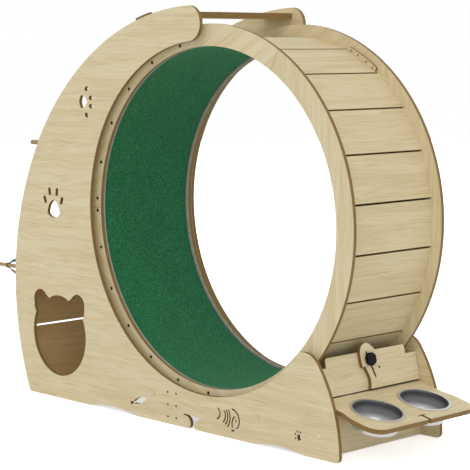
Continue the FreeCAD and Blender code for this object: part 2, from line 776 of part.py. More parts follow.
# ---- side panels ----
def draw_paw(sketch, x, z, pad_half, reach, toe_radius, toe_length, spread, angle):
    """A rounded pad with four toes above it; spread is the outer toes' angle and how far out they are."""
    corners = [(-pad_half * 0.95, -pad_half * 0.35), (pad_half * 0.95, -pad_half * 0.35), (pad_half * 0, pad_half)]
    outline = []
    for (corner_x, corner_z), bulge in zip(corners, (pad_half * 1.25, pad_half * 1.5, pad_half * 1.5)):
        turned_x, turned_z = turned(corner_x, corner_z, angle)
        outline.append((x + turned_x, z + turned_z, bulge))
    draw_outline(sketch, outline)
    for lean, out in ((spread[0], spread[1]), (18, 1.0), (-18, 1.0), (-spread[0], spread[1])):
        toe_x, toe_z = turned(reach * 0, reach * out, Size(lean, f"({lean})") + angle)
        half_x, half_z = turned(reach * 0, toe_radius * toe_length, Size(lean * 0.4, f"({lean * 0.4})") + angle)
        draw_slot(sketch, (x + toe_x - half_x, z + toe_z - half_z), (x + toe_x + half_x, z + toe_z + half_z),
                  toe_radius)


def draw_bent_slit(sketch, x, z, low, high, sag, width):
    """A slit bent through low and high, given from (x, z); a positive sag bows it to the right."""
    first, last = (low, high) if sag > 0 else (high, low)
    run, rise = last[0] - first[0], last[1] - first[1]
    chord = math.hypot(run, rise)
    bow = abs(sag)
    radius = (chord * chord / 4 + bow * bow) / (2 * bow)
    middle_x = (first[0] + last[0]) / 2 - rise / chord * (radius - bow)
    middle_z = (first[1] + last[1]) / 2 + run / chord * (radius - bow)
    corners = []
    for end, reach, turn in ((first, width / 2, 1), (last, width / 2, 0), (last, -width / 2, -1), (first, -width / 2, 0)):
        out_x = (end[0] - middle_x) / radius
        out_z = (end[1] - middle_z) / radius
        corner = (x + middle_x + out_x * (radius + reach), z + middle_z + out_z * (radius + reach))
        corners.append(corner if turn == 0 else corner + ((radius + reach) * turn,))
    draw_outline(sketch, corners)


def draw_den_opening(sketch):
    """The animal-head way in: a round head, two ears and a shallow brow."""
    x, z = d.den_head_x, d.den_head_z
    neck_z = root(d.den_head_radius * d.den_head_radius - d.den_neck_half * d.den_neck_half)
    draw_outline(sketch, [
        (x + d.den_neck_half, z + neck_z, Size(40, "40")), (x + d.den_ear_out, z + d.den_ear_out_z, d.den_ear_radius),
        (x + d.den_ear_in, z + d.den_ear_in_z), (x + d.den_brow_half, z + d.den_brow_z, d.den_brow_radius),
        (x - d.den_brow_half, z + d.den_brow_z), (x - d.den_ear_in, z + d.den_ear_in_z, d.den_ear_radius),
        (x - d.den_ear_out, z + d.den_ear_out_z, Size(40, "40")), (x - d.den_neck_half, z + neck_z, d.den_head_radius),
        (x, z - d.den_head_radius, d.den_head_radius)])


def draw_small_fish(sketch):
    """A lens-shaped body with a forked tail, drawn back from its nose."""
    length, tail, tilt = d.small_fish_length, d.small_fish_tail, d.small_fish_tilt
    outline = []
    for back, up, bend in ((0, 0, d.small_fish_radius), (-length, 2, None), (-length - tail, 5.5, None),
                           (-length - tail * 0.7, 0, None), (-length - tail, -5.5, None),
                           (-length, -2, d.small_fish_radius)):
        along, rise = turned(back * Size(1, "1"), up * Size(1, "1"), tilt)
        point = (d.small_fish_x + along, d.small_fish_z + rise)
        outline.append(point if bend is None else point + (bend,))
    draw_outline(sketch, outline)


def draw_bone_fish(sketch):
    """Fish bones: a tail slit, three ribs, the gill and the round of the head, then the eye."""
    x, z, slit = d.bone_fish_x, d.bone_fish_z, d.bone_slit
    draw_bent_slit(sketch, x, z, (-51, -6), (-48, 23), 10, slit)
    for rib in range(3):
        ahead = d.bone_pitch * rib
        draw_bent_slit(sketch, x + ahead, z, (-29, -11 - 5 * rib), (-25, 20 + 2.5 * rib), 8, slit)
    draw_bent_slit(sketch, x, z, (7, -20), (15, 10), -5, slit)
    draw_bent_slit(sketch, x, z, (3, -28), (5, 28), 28, slit)
    draw_circle(sketch, x + 20, z - 1, d.bone_eye_radius)


def draw_panel_outline(sketch):
    """The crescent: one big outer arc, the wheel hole's arc and two horns."""
    toe_x = d.wheel_radius - d.toe_inset
    horn_x = d.wheel_radius - d.low_horn_inset
    heel_x = arc_left(Size(0, "0"), Size(0, "0"))
    tip_rise = axis_z - d.low_horn_tip_z
    tip_x = root(hole_radius * hole_radius - tip_rise * tip_rise)
    nose_radius = d.horn_width / 2
    nose_x = -d.horn_nose_offset
    nose_rise = root(hole_radius * hole_radius - nose_x * nose_x)
    top_run = nose_x - d.arc_centre_x
    top_z = d.arc_centre_z + root(panel_radius * panel_radius - top_run * top_run)
    nose_low = axis_z + nose_rise
    nose_middle = (top_z + nose_low) / 2
    left_arch = (d.left_arch_end - d.left_arch_start) / 2
    left_arch_radius = (left_arch * left_arch + d.left_arch_rise * d.left_arch_rise) / (d.left_arch_rise * 2)
    right_arch = (d.right_arch_end - d.right_arch_start) / 2
    right_arch_radius = (right_arch * right_arch + d.right_arch_rise * d.right_arch_rise) / (d.right_arch_rise * 2)
    neck_left = d.panel_notch_x - d.panel_notch_neck / 2
    neck_right = d.panel_notch_x + d.panel_notch_neck / 2
    hook_left = d.panel_notch_x - d.panel_notch_left
    hook_right = d.panel_notch_x + d.panel_notch_right
    corner = d.panel_notch_corner
    floor = Size(0, "0")
    draw_outline(sketch, [
        (heel_x, floor), (d.left_arch_start, floor, -left_arch_radius), (d.left_arch_end, floor),
        (neck_left - corner, floor, corner * 1.001), (neck_left, corner, Size(22, "22")),
        (hook_left, d.panel_notch_depth - 4.5), (hook_left + 4, d.panel_notch_depth),
        (hook_right, d.panel_notch_depth - 3), (neck_right + corner * 0.9, corner * 1.9, Size(17, "17")),
        (neck_right, corner * 0.8, corner * 1.001), (neck_right + corner * 0.8, floor),
        (d.right_arch_start, floor, -right_arch_radius), (d.right_arch_end, floor),
        (toe_x, floor, d.toe_radius), (horn_x, d.low_horn_z, d.low_horn_nose_radius),
        (tip_x, d.low_horn_tip_z, -hole_radius), (floor, axis_z - hole_radius, -hole_radius),
        (-hole_radius, axis_z, -hole_radius), (nose_x, nose_low, nose_radius * 1.001),
        (nose_x + nose_radius, nose_middle, nose_radius * 1.001), (nose_x, top_z, panel_radius),
        (d.arc_centre_x - panel_radius, d.arc_centre_z, panel_radius)])
    return heel_x, toe_x


front_panel = new_body("front_panel")


def panel_cut(name, draw, *details):
    """One motif cut right through the panel."""
    sketch = new_sketch(front_panel, name, "XZ_Plane", inner_face)
    draw(sketch, *details)
    pocket(front_panel, sketch, d.panel_thickness, back=True)


def draw_holes(sketch):
    for column in (-0.5, 0.5):
        for line in (-1, 0, 1):
            draw_circle(sketch, d.drill_x + d.drill_pitch * column, d.drill_z + d.drill_pitch * line, d.drill_radius)
    for x, z in screw_spots:
        draw_circle(sketch, x, z, screw_hole)
    for side_of_axis in (-1, 1):
        draw_circle(sketch, axle_x * side_of_axis, axle_z, d.axle_radius + d.bolt_hole_clearance)


panel_outline = new_sketch(front_panel, "PanelOutline", "XZ_Plane", inner_face)
heel_x, toe_x = draw_panel_outline(panel_outline)
panel_blank = pad(front_panel, panel_outline, d.panel_thickness)
round_corners(front_panel, panel_blank, [(heel_x, 0), (toe_x, 0)], d.foot_corner_radius)
panel_cut("DenOpening", draw_den_opening)
panel_cut("BigPaw", draw_paw, d.big_paw_x, d.big_paw_z, d.big_paw_pad, d.big_paw_reach, d.big_paw_toe,
          1.05, (54, 0.87), Size(0, "0"))
panel_cut("HighPaw", draw_paw, d.high_paw_x, d.high_paw_z, d.high_paw_pad, d.high_paw_reach, d.high_paw_toe,
          0.35, (65, 1.08), Size(-90, "(-90)"))
panel_cut("LowPaw", draw_paw, d.low_paw_x, d.low_paw_z, d.low_paw_pad, d.low_paw_reach, d.low_paw_toe,
          0.8, (62, 0.9), Size(45, "45"))
panel_cut("SmallFish", draw_small_fish)
panel_cut("FishBones", draw_bone_fish)
panel_cut("RoundHoles", draw_holes)
place(front_panel)
sub_parts.append(front_panel)

# the back panel is cut to the same pattern and stands on the far side of the wheel
back_panel = new_body("back_panel")
back_panel.BaseFeature = front_panel
place(back_panel, y=inner_face + outer_face)
sub_parts.append(back_panel)


# ---- a short strip of trim along the front panel's upper edge ----
trim = new_body("outline_strip")
trim_sketch = new_sketch(trim, "OutlineStrip", "XZ_Plane", inner_face)
trim_inner = panel_radius + d.soft_clearance
trim_outer = trim_inner + d.trim_thickness
trim_start, trim_end = d.trim_start_angle, d.trim_end_angle
draw_outline(trim_sketch, [
    (d.arc_centre_x + trim_outer * cosine(trim_start), d.arc_centre_z + trim_outer * sine(trim_start), trim_outer),
    (d.arc_centre_x + trim_outer * cosine(trim_end), d.arc_centre_z + trim_outer * sine(trim_end)),
    (d.arc_centre_x + trim_inner * cosine(trim_end), d.arc_centre_z + trim_inner * sine(trim_end), -trim_inner),
    (d.arc_centre_x + trim_inner * cosine(trim_start), d.arc_centre_z + trim_inner * sine(trim_start))])
pad(trim, trim_sketch, d.panel_thickness)
place(trim)
sub_parts.append(trim)


# ---- screws through the panels into the boards ----
def build_screws(name, face, outward):
    """Low round heads on the panel's outside and shanks into the boards; outward is 1 at the front."""
    screws = new_body(name, several=True)
    shanks = new_sketch(screws, name + "Shanks", "XZ_Plane", face)
    for x, z in screw_spots:
        draw_circle(shanks, x, z, d.screw_radius)
    pad(screws, shanks, d.panel_thickness + d.screw_bite, back=outward > 0)
    heads = new_sketch(screws, name + "Heads", "XZ_Plane", face)
    for x, z in screw_spots:
        draw_circle(heads, x, z, d.screw_head_radius)
    pad(screws, heads, d.screw_head_height, back=outward < 0)
    place(screws)
    sub_parts.append(screws)


build_screws("front_panel_screws", outer_face, 1)
build_screws("back_panel_screws", -outer_face, -1)


# ---- wheel: drawn about its own axis ----
def build_ring(name, face):
    ring = new_body(name, several=True)
    sketch = new_sketch(ring, name + "Segment", "XZ_Plane", face)
    half_seam = d.seam_gap / d.wheel_radius * (90 / math.pi)
    low = d.ring_seam_angle + half_seam
    high = d.ring_seam_angle + 360 / d.ring_segments.value - half_seam
    draw_outline(sketch, [
        (d.wheel_radius * cosine(low), d.wheel_radius * sine(low), d.wheel_radius),
        (d.wheel_radius * cosine(high), d.wheel_radius * sine(high)),
        (ring_inner * cosine(high), ring_inner * sine(high), -ring_inner),
        (ring_inner * cosine(low), ring_inner * sine(low))])
    segment = pad(ring, sketch, d.ring_thickness)
    repeat_round(ring, [segment], "Y_Axis", d.ring_segments)
    place(ring, z=axis_z)
    sub_parts.append(ring)


def build_joint_plates(name, face):
    plates = new_body(name, several=True)
    sketch = new_sketch(plates, name + "Plate", "XZ_Plane", face)
    seat = plank_outer + d.fit_gap
    crest = plank_outer + d.joint_plate_rise
    half_chord = crest * sine(d.joint_plate_half_angle)
    shoulder = crest * cosine(d.joint_plate_half_angle)
    corner = Size(5, "5")
    outline = []
    for out, across, bend in ((seat, -half_chord, None), (shoulder - corner, -half_chord, corner * 1.01),
                              (shoulder + 0.7, -half_chord + corner, crest), (shoulder + 0.7, half_chord - corner, corner * 1.01),
                              (shoulder - corner, half_chord, None), (seat, half_chord, None)):
        x, z = turned(out, across, d.ring_seam_angle)
        outline.append((x, z) if bend is None else (x, z, bend))
    draw_outline(sketch, outline)
    plate = pad(plates, sketch, d.joint_plate_thickness)
    repeat_round(plates, [plate], "Y_Axis", d.ring_segments)
    place(plates, z=axis_z)
    sub_parts.append(plates)


build_ring("front_ring_segments", half_tread)
build_ring("back_ring_segments", -half_wheel)
build_joint_plates("front_joint_plates", half_tread - d.joint_plate_thickness)
build_joint_plates("back_joint_plates", -half_tread)

planks = new_body("tread_planks", several=True)
plank_sketch = new_sketch(planks, "PlankSection", "XZ_Plane", -half_tread)
half_plank = plank_inner * tangent(180 / d.plank_count.value) - d.plank_gap / 2
draw_box(plank_sketch, plank_inner, -half_plank, plank_outer, half_plank)
plank = pad(planks, plank_sketch, half_tread * 2)
repeat_round(planks, [plank], "Y_Axis", d.plank_count)
place(planks, z=axis_z)
sub_parts.append(planks)


def build_lining(name, face, length, thickness):
    """A round lining against the inside of the planks."""
    lining = new_body(name)
    sketch = new_sketch(lining, name + "Section", "XZ_Plane", face)
    outside = plank_inner - d.soft_clearance
    draw_circle(sketch, Size(0, "0"), Size(0, "0"), outside)
    draw_circle(sketch, Size(0, "0"), Size(0, "0"), outside - thickness)
    pad(lining, sketch, length)
    place(lining, z=axis_z)
    sub_parts.append(lining)


half_carpet = half_tread - d.edge_strip_width - d.soft_clearance * 2
build_lining("running_carpet", -half_carpet, half_carpet * 2, d.carpet_thickness)
build_lining("front_edge_strip", half_carpet + d.soft_clearance, d.edge_strip_width, d.edge_strip_thickness)
build_lining("back_edge_strip", -(half_tread - d.soft_clearance), d.edge_strip_width, d.edge_strip_thickness)

# ---- rollers: grooved, on two bearings each, drawn about their own axis along Y ----
half_roller = d.roller_width / 2
half_groove = d.roller_groove_width / 2
flange = d.roller_tread_radius + d.roller_flange_rise
seat_radius = d.bearing_radius + d.bearing_seat_clearance
rib_half = half_roller - d.bearing_width
bearing_bore = d.axle_radius + d.bearing_bore_clearance
for name, x_side, y_side in (("front_left", -1, -1), ("front_right", 1, -1), ("back_left", -1, 1), ("back_right", 1, 1)):
    roller = new_body(name + "_roller")
    section = new_sketch(roller, name + "RollerSection", "XY_Plane")
    draw_outline(section, [
        (seat_radius, -half_roller), (flange, -half_roller), (flange, -half_groove - 1),
        (flange - 1, -half_groove), (d.roller_tread_radius, -half_groove), (d.roller_tread_radius, half_groove),
        (flange - 1, half_groove), (flange, half_groove + 1), (flange, half_roller), (seat_radius, half_roller),
        (seat_radius, rib_half), (seat_radius - 2, rib_half), (seat_radius - 2, -rib_half), (seat_radius, -rib_half)])
    revolve(roller, section)
    place(roller, axle_x * x_side, roller_y * y_side, axle_z)
    sub_parts.append(roller)
    bearings = new_body(name + "_bearings", several=True)
    bearing_sections = new_sketch(bearings, name + "BearingSection", "XY_Plane")
    draw_box(bearing_sections, bearing_bore, rib_half, d.bearing_radius, half_roller)
    draw_box(bearing_sections, bearing_bore, -half_roller, d.bearing_radius, -rib_half)
    revolve(bearings, bearing_sections)
    place(bearings, axle_x * x_side, roller_y * y_side, axle_z)
    sub_parts.append(bearings)


# ---- roller axles: one turned or six-sided piece repeated at the four axle places ----
def tube_along_y(radius, bore, low, high):
    outer = Part.makeCylinder(float(radius), float(high - low), FreeCAD.Vector(0, float(low), 0), FreeCAD.Vector(0, 1, 0))
    if float(bore) == 0:
        return outer
    hole = Part.makeCylinder(float(bore), float(high - low) + 2, FreeCAD.Vector(0, float(low) - 1, 0),
                             FreeCAD.Vector(0, 1, 0))
    return outer.cut(hole)


def hexagon_along_y(flat_radius, bore, low, high):
    corner = float(flat_radius) / math.cos(math.pi / 6)
    points = [FreeCAD.Vector(corner * math.cos(math.pi / 3 * side), float(low), corner * math.sin(math.pi / 3 * side))
              for side in range(7)]
    prism = Part.Face(Part.makePolygon(points)).extrude(FreeCAD.Vector(0, float(high - low), 0))
    hole = Part.makeCylinder(float(bore), float(high - low) + 2, FreeCAD.Vector(0, float(low) - 1, 0),
                             FreeCAD.Vector(0, 1, 0))
    return prism.cut(hole)


def at_every_axle(name, back_shape):
    """back_shape is drawn for the back panel; the front's is its mirror image."""
    front_shape = back_shape.mirror(FreeCAD.Vector(0, 0, 0), FreeCAD.Vector(0, 1, 0))
    copies = []
    for shape in (front_shape, back_shape):
        for side_of_axis in (-1, 1):
            copy = shape.copy()
            copy.translate(FreeCAD.Vector(float(axle_x) * side_of_axis, 0, 0))
            copies.append(copy)
    feature = doc.addObject("Part::Feature", name)
    feature.Label = name
    feature.Shape = Part.makeCompound(copies)
    place(feature, z=axle_z)
    sub_parts.append(feature)


roller_inside = roller_y - half_roller - d.axle_end_gap
roller_outside = roller_y + half_roller + d.axle_end_gap
nut_face = roller_inside - d.washer_thickness
shank = tube_along_y(d.axle_radius, 0, nut_face - d.nut_height - 1, outer_face)
head = tube_along_y(d.axle_head_radius, 0, outer_face, outer_face + d.axle_head_height)
at_every_axle("roller_axle_bolts", shank.fuse(head).removeSplitter())
at_every_axle("roller_spacers", tube_along_y(d.spacer_radius, bearing_bore, roller_outside, inner_face))
at_every_axle("roller_washers", tube_along_y(d.washer_radius, bearing_bore, nut_face, roller_inside))
at_every_axle("roller_nuts", hexagon_along_y(d.nut_flat_radius, bearing_bore, nut_face - d.nut_height, nut_face))


# ---- toys: turned pieces along X with a spigot into a board's left edge ----
def build_turned_peg(name, board_left, z, radius, length):
    """Drawn in XY with the peg along the sketch's vertical axis, then laid along -X."""
    peg = new_body(name)
    section = new_sketch(peg, name + "Section", "XY_Plane")
    nought = Size(0, "0")
    tip = d.fit_gap + length
    rounding = radius * 0.5
    draw_outline(section, [
        (nought, -d.spigot_length), (d.spigot_radius, -d.spigot_length), (d.spigot_radius, d.fit_gap),
        (radius, d.fit_gap), (radius, tip - rounding, rounding * 1.001), (radius - rounding, tip), (nought, tip)])
    revolve(peg, section)
    place(peg, board_left, d.toy_y, z, (0, 0, 1), 90)
    sub_parts.append(peg)


build_turned_peg("teaser_rod", roof_left, d.roof_z, d.rod_radius, d.rod_length - d.fit_gap)
build_turned_peg("toy_peg", platform_left, d.platform_z, d.peg_radius, d.peg_length)

collar = new_body("teaser_collar")
collar_sketch = new_sketch(collar, "CollarSection", "YZ_Plane")
draw_circle(collar_sketch, Size(0, "0"), Size(0, "0"), d.collar_radius)
draw_circle(collar_sketch, Size(0, "0"), Size(0, "0"), d.rod_radius + d.spigot_clearance)
pad(collar, collar_sketch, d.collar_length)
place(collar, roof_left - d.collar_place - d.collar_length, d.toy_y, d.roof_z)
sub_parts.append(collar)

for name, turn_sign in (("green_feather", -1), ("pink_feather", 1)):
    feather = new_body(name)
    leaf = new_sketch(feather, name + "Leaf", "XZ_Plane", -d.feather_thickness / 2)
    draw_outline(leaf, [
        (d.fit_gap, Size(0, "0"), d.feather_radius), (d.feather_length, Size(0, "0"), d.feather_radius)])
    pad(feather, leaf, d.feather_thickness)
    root_z = d.roof_z - d.collar_radius * 0.88 * turn_sign
    place(feather, roof_left - d.collar_place, d.toy_y, root_z, (0, 1, 0), d.feather_spread * turn_sign)
    sub_parts.append(feather)

# ---- check and write ----
doc.recompute()
for thing in doc.Objects:
    if "Invalid" in thing.State or "Error" in thing.State:
        raise RuntimeError(f"{thing.Name} failed: {thing.State}")
for sub_part in sub_parts:
    if sub_part.Shape.isNull() or not sub_part.Shape.isValid():
        raise RuntimeError(f"{sub_part.Label} has no valid shape")

os.makedirs("parts", exist_ok=True)
for sub_part in sub_parts:
    sub_part.Shape.exportStep(f"parts/{sub_part.Label}.step")
    print(f"{sub_part.Label}: {len(sub_part.Shape.Solids)} solid(s), {sub_part.Shape.Volume / 1000:.1f} cm3")
print(f"wheel axis at x {float(middle_shift):.2f} z {float(axis_z):.2f}, {len(sub_parts)} sub-parts")
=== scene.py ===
import math
import random

import bmesh
import bpy
import numpy as np
from mathutils import Matrix, Vector


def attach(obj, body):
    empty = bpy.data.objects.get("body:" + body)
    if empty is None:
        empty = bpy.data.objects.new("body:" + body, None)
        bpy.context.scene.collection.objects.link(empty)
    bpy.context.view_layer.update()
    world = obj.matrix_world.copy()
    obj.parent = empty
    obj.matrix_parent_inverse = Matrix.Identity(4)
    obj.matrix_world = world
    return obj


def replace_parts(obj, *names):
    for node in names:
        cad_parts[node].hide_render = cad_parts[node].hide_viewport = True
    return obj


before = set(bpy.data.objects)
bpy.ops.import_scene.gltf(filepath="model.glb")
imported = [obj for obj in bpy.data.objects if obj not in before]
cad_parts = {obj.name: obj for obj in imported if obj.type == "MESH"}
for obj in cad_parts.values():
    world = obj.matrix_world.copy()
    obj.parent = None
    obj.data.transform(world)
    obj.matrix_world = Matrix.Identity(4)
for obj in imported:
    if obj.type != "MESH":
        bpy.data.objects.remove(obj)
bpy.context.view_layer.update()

scene = bpy.context.scene
print("frame loaded:", len(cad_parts), "nodes")

wheel = {  # in metres, as the frame has it
    "centreX": 0.180029,
    "centreZ": 0.555,
    "plankRadius": 0.461,
    "planks": 24,
    "segments": 3,
}
faceLimit = 0.7  # a surface within about 45 degrees of a board's face counts as veneer
crispFrom = 28  # degrees between two faces, from which their edge stays sharp


def paint(red, green, blue):  # a colour as a paint chart gives it, 0 to 255
    linear = []
    for part in (red, green, blue):
        share = part / 255
        linear.append(share / 12.92 if share <= 0.04045 else ((share + 0.055) / 1.055) ** 2.4)
    return (*linear, 1.0)


class Finish:
    # one material, built node by node

    def __init__(self, name):
        self.material = bpy.data.materials.new(name)
        self.material.use_nodes = True
        self.tree = self.material.node_tree
        self.tree.nodes.clear()
        output = self.tree.nodes.new("ShaderNodeOutputMaterial")
        self.shader = self.tree.nodes.new("ShaderNodeBsdfPrincipled")
        self.tree.links.new(self.shader.outputs["BSDF"], output.inputs["Surface"])
        self.place = self.tree.nodes.new("ShaderNodeTexCoord")

    def put(self, socket, value):
        if isinstance(value, bpy.types.NodeSocket):
            self.tree.links.new(value, socket)
        else:
            socket.default_value = value

    def set(self, **values):  # metallic, roughness and so on, straight on the shader
        for name, value in values.items():
            self.put(self.shader.inputs[name.replace("_", " ")], value)

    def maths(self, operation, *values, clamp=False):
        node = self.tree.nodes.new("ShaderNodeMath")
        node.operation = operation
        node.use_clamp = clamp
        for socket, value in zip(node.inputs, values):
            self.put(socket, value)
        return node.outputs[0]

    def vectorMaths(self, operation, *values):
        node = self.tree.nodes.new("ShaderNodeVectorMath")
        node.operation = operation
        for socket, value in zip(node.inputs, values):
            self.put(socket, value)
        return node.outputs["Value" if operation in ("DOT_PRODUCT", "LENGTH") else "Vector"]

    def split(self, vector):
        node = self.tree.nodes.new("ShaderNodeSeparateXYZ")
        self.put(node.inputs[0], vector)
        return node.outputs

    def join(self, x, y, z):
        node = self.tree.nodes.new("ShaderNodeCombineXYZ")
        for socket, value in zip(node.inputs, (x, y, z)):
            self.put(socket, value)
        return node.outputs[0]

    def noise(self, where, size=1.0, detail=3.0, rough=0.55, warp=0.0):
        node = self.tree.nodes.new("ShaderNodeTexNoise")
        self.put(node.inputs["Vector"], where)
        node.inputs["Scale"].default_value = size
        node.inputs["Detail"].default_value = detail
        node.inputs["Roughness"].default_value = rough
        node.inputs["Distortion"].default_value = warp
        return node.outputs["Fac"]

    def range(self, value, low, high, toLow=0.0, toHigh=1.0):
        node = self.tree.nodes.new("ShaderNodeMapRange")
        node.interpolation_type = "SMOOTHSTEP"
        for name, number in (("From Min", low), ("From Max", high), ("To Min", toLow), ("To Max", toHigh)):
            self.put(node.inputs[name], number)
        self.put(node.inputs["Value"], value)
        return node.outputs[0]

    def mix(self, share, first, second, blend="MIX"):
        node = self.tree.nodes.new("ShaderNodeMix")
        node.data_type = "RGBA"
        node.blend_type = blend
        for place, value in ((0, share), (6, first), (7, second)):  # 6 and 7 are its colour inputs
            self.put(node.inputs[place], value)
        return node.outputs[2]

    def bump(self, height, depth, strength=1.0, normal=None):
        node = self.tree.nodes.new("ShaderNodeBump")
        node.inputs["Strength"].default_value = strength
        node.inputs["Distance"].default_value = depth
        self.put(node.inputs["Height"], height)
        if normal is not None:
            self.put(node.inputs["Normal"], normal)
        return node.outputs[0]

    def soften(self, radius):  # rounded corners in the shading
        node = self.tree.nodes.new("ShaderNodeBevel")
        node.samples = 4
        node.inputs["Radius"].default_value = radius
        return node.outputs[0]

    def worn(self, softened):  # 1 along corners, 0 on flat faces
        geometry = self.tree.nodes.new("ShaderNodeNewGeometry")
        agree = self.vectorMaths("DOT_PRODUCT", softened, geometry.outputs["Normal"])
        return self.range(agree, 0.995, 0.86)


ply = {  # colours, shares, lengths in metres, then the gloss
    "face": paint(218, 203, 165),
    "faceLight": paint(226, 213, 179),
    "faceDark": paint(207, 190, 147),
    "streak": paint(182, 161, 114),
    "edge": paint(141, 113, 64),
    "edgeDark": paint(99, 75, 37),
    "paintedDenShade": paint(246, 226, 200),  # painted shade, laid over the den's inner faces
    "bandShare": 0.48,  # how strongly each mark shows
    "streakShare": 0.50,
    "paleShare": 0.45,
    "poreShare": 0.20,
    "wear": 0.55,
    "streakLength": 0.085,
    "streakWidth": 0.0021,
    "bandLength": 0.34,
    "bandWidth": 0.018,
    "poreLength": 0.009,
    "poreWidth": 0.0008,
    "wave": 0.010,  # how far the grain wanders sideways
    "waveLength": 0.16,
    "waveWidth": 0.07,
    "layers": 0.0040,  # two veneers, seen on a cut edge
    "cornerRadius": 0.0012,
    "grainDepth": 0.00035,
    "shine": 0.22,
    "smooth": 0.46,
    "rough": 0.64,
}
plankPly = {
    **ply,
    "face": paint(211, 196, 157),
    "faceLight": paint(219, 206, 170),
    "faceDark": paint(199, 182, 140),
}


def plyFinish(finish, along, across, depth, veneer, look=ply, paintedShade=None):
    # along, across and depth are sockets in metres; veneer is 1 on a face and 0 on a cut edge
    def stretched(length, sideways, width, deeper):
        return finish.join(finish.maths("DIVIDE", along, length), finish.maths("DIVIDE", sideways, width), deeper)

    wander = finish.noise(stretched(look["waveLength"], across, look["waveWidth"], depth), detail=2.0)
    wander = finish.maths("MULTIPLY", finish.maths("SUBTRACT", wander, 0.5), look["wave"] * 2)
    waved = finish.maths("ADD", across, wander)
    band = finish.noise(stretched(look["bandLength"], waved, look["bandWidth"], depth),
                        detail=3.0, rough=0.5, warp=0.3)
    streak = finish.noise(stretched(look["streakLength"], waved, look["streakWidth"],
                                    finish.maths("MULTIPLY", depth, 30.0)), detail=2.5, rough=0.6, warp=0.15)
    pores = finish.noise(stretched(look["poreLength"], waved, look["poreWidth"],
                                   finish.maths("MULTIPLY", depth, 90.0)), detail=2.0)
    face = finish.mix(finish.range(band, 0.34, 0.66), look["faceDark"], look["faceLight"])
    face = finish.mix(look["bandShare"], look["face"], face)
    face = finish.mix(finish.range(streak, 0.52, 0.68, 0.0, look["streakShare"]), face, look["streak"])
    face = finish.mix(finish.range(streak, 0.46, 0.32, 0.0, look["paleShare"]), face, look["faceLight"])
    face = finish.mix(finish.range(pores, 0.60, 0.74, 0.0, look["poreShare"]), face, look["streak"])
    layers = finish.maths("SINE", finish.maths("MULTIPLY", depth, 2 * math.pi / look["layers"]))
    burn = finish.noise(finish.join(finish.maths("MULTIPLY", along, 60.0), finish.maths("MULTIPLY", across, 60.0),
                                    finish.maths("MULTIPLY", depth, 500.0)), detail=3.0)
    edge = finish.mix(finish.range(layers, -0.5, 0.9, 0.0, 0.35), look["edge"], look["edgeDark"])
    edge = finish.mix(finish.range(burn, 0.35, 0.75, 0.0, 0.5), edge, look["edgeDark"])
    softened = finish.soften(look["cornerRadius"])
    worn = finish.worn(softened)
    face = finish.mix(finish.maths("MULTIPLY", worn, look["wear"]), face, look["edge"])
    colour = finish.mix(veneer, edge, face)
    colour = finish.mix(finish.maths("MULTIPLY", worn, finish.maths("SUBTRACT", 0.30, veneer), clamp=True),
                        colour, look["face"])
    # painted shade: the den's inner faces are made darker and browner, as if in the den's shadow
    if paintedShade is not None:
        colour = finish.mix(paintedShade, colour, look["paintedDenShade"], "MULTIPLY")
    height = finish.maths("ADD", finish.maths("MULTIPLY", streak, 0.7), finish.maths("MULTIPLY", pores, 0.3))
    finish.set(Base_Color=colour, Specular_IOR_Level=look["shine"],
               Roughness=finish.range(streak, 0.3, 0.75, look["smooth"], look["rough"]),
               Normal=finish.bump(height, look["grainDepth"], strength=0.45, normal=softened))
    return finish.material


def boardFinish(name, faceWay, grainWay, shift, insideWay=None):
    # shift moves the grain, so that no two boards look alike; insideWay gives the face that gets painted shade
    finish = Finish(name)
    normal = finish.place.outputs["Normal"]
    place = finish.vectorMaths("ADD", finish.place.outputs["Object"], (shift, shift * 0.7, shift * 0.4))
    crossWay = Vector(faceWay).cross(Vector(grainWay)).normalized()
    along = finish.vectorMaths("DOT_PRODUCT", place, tuple(grainWay))
    across = finish.vectorMaths("DOT_PRODUCT", place, tuple(crossWay))
    depth = finish.vectorMaths("DOT_PRODUCT", place, tuple(faceWay))
    facing = finish.maths("ABSOLUTE", finish.vectorMaths("DOT_PRODUCT", normal, tuple(faceWay)))
    veneer = finish.maths("GREATER_THAN", facing, faceLimit)
    paintedShade = None
    if insideWay is not None:
        paintedShade = finish.maths("GREATER_THAN", finish.vectorMaths("DOT_PRODUCT", normal, insideWay), 0.5)
    return plyFinish(finish, along, across, depth, veneer, paintedShade=paintedShade)


def fromAxis(finish):  # the place measured from the wheel's axis
    place = finish.vectorMaths("SUBTRACT", finish.place.outputs["Object"],
                               (wheel["centreX"], 0.0, wheel["centreZ"]))
    return finish.split(place)


def ringFinish(name):
    # each segment is cut from its own board, so its grain runs square to its middle radius
    finish = Finish(name)
    x, y, z = fromAxis(finish)
    step = 2 * math.pi / wheel["segments"]
    number = finish.maths("ROUND", finish.maths("DIVIDE", finish.maths("ARCTAN2", z, x), step))
    turn = finish.maths("MULTIPLY", number, step)
    cosine, sine = finish.maths("COSINE", turn), finish.maths("SINE", turn)
    outward = finish.maths("ADD", finish.maths("MULTIPLY", x, cosine), finish.maths("MULTIPLY", z, sine))
    along = finish.maths("SUBTRACT", finish.maths("MULTIPLY", z, cosine), finish.maths("MULTIPLY", x, sine))
    depth = finish.maths("ADD", y, finish.maths("MULTIPLY", number, 3.7))
    sideways = finish.maths("ABSOLUTE", finish.split(finish.place.outputs["Normal"])[1])
    return plyFinish(finish, along, outward, depth, finish.maths("GREATER_THAN", sideways, faceLimit))


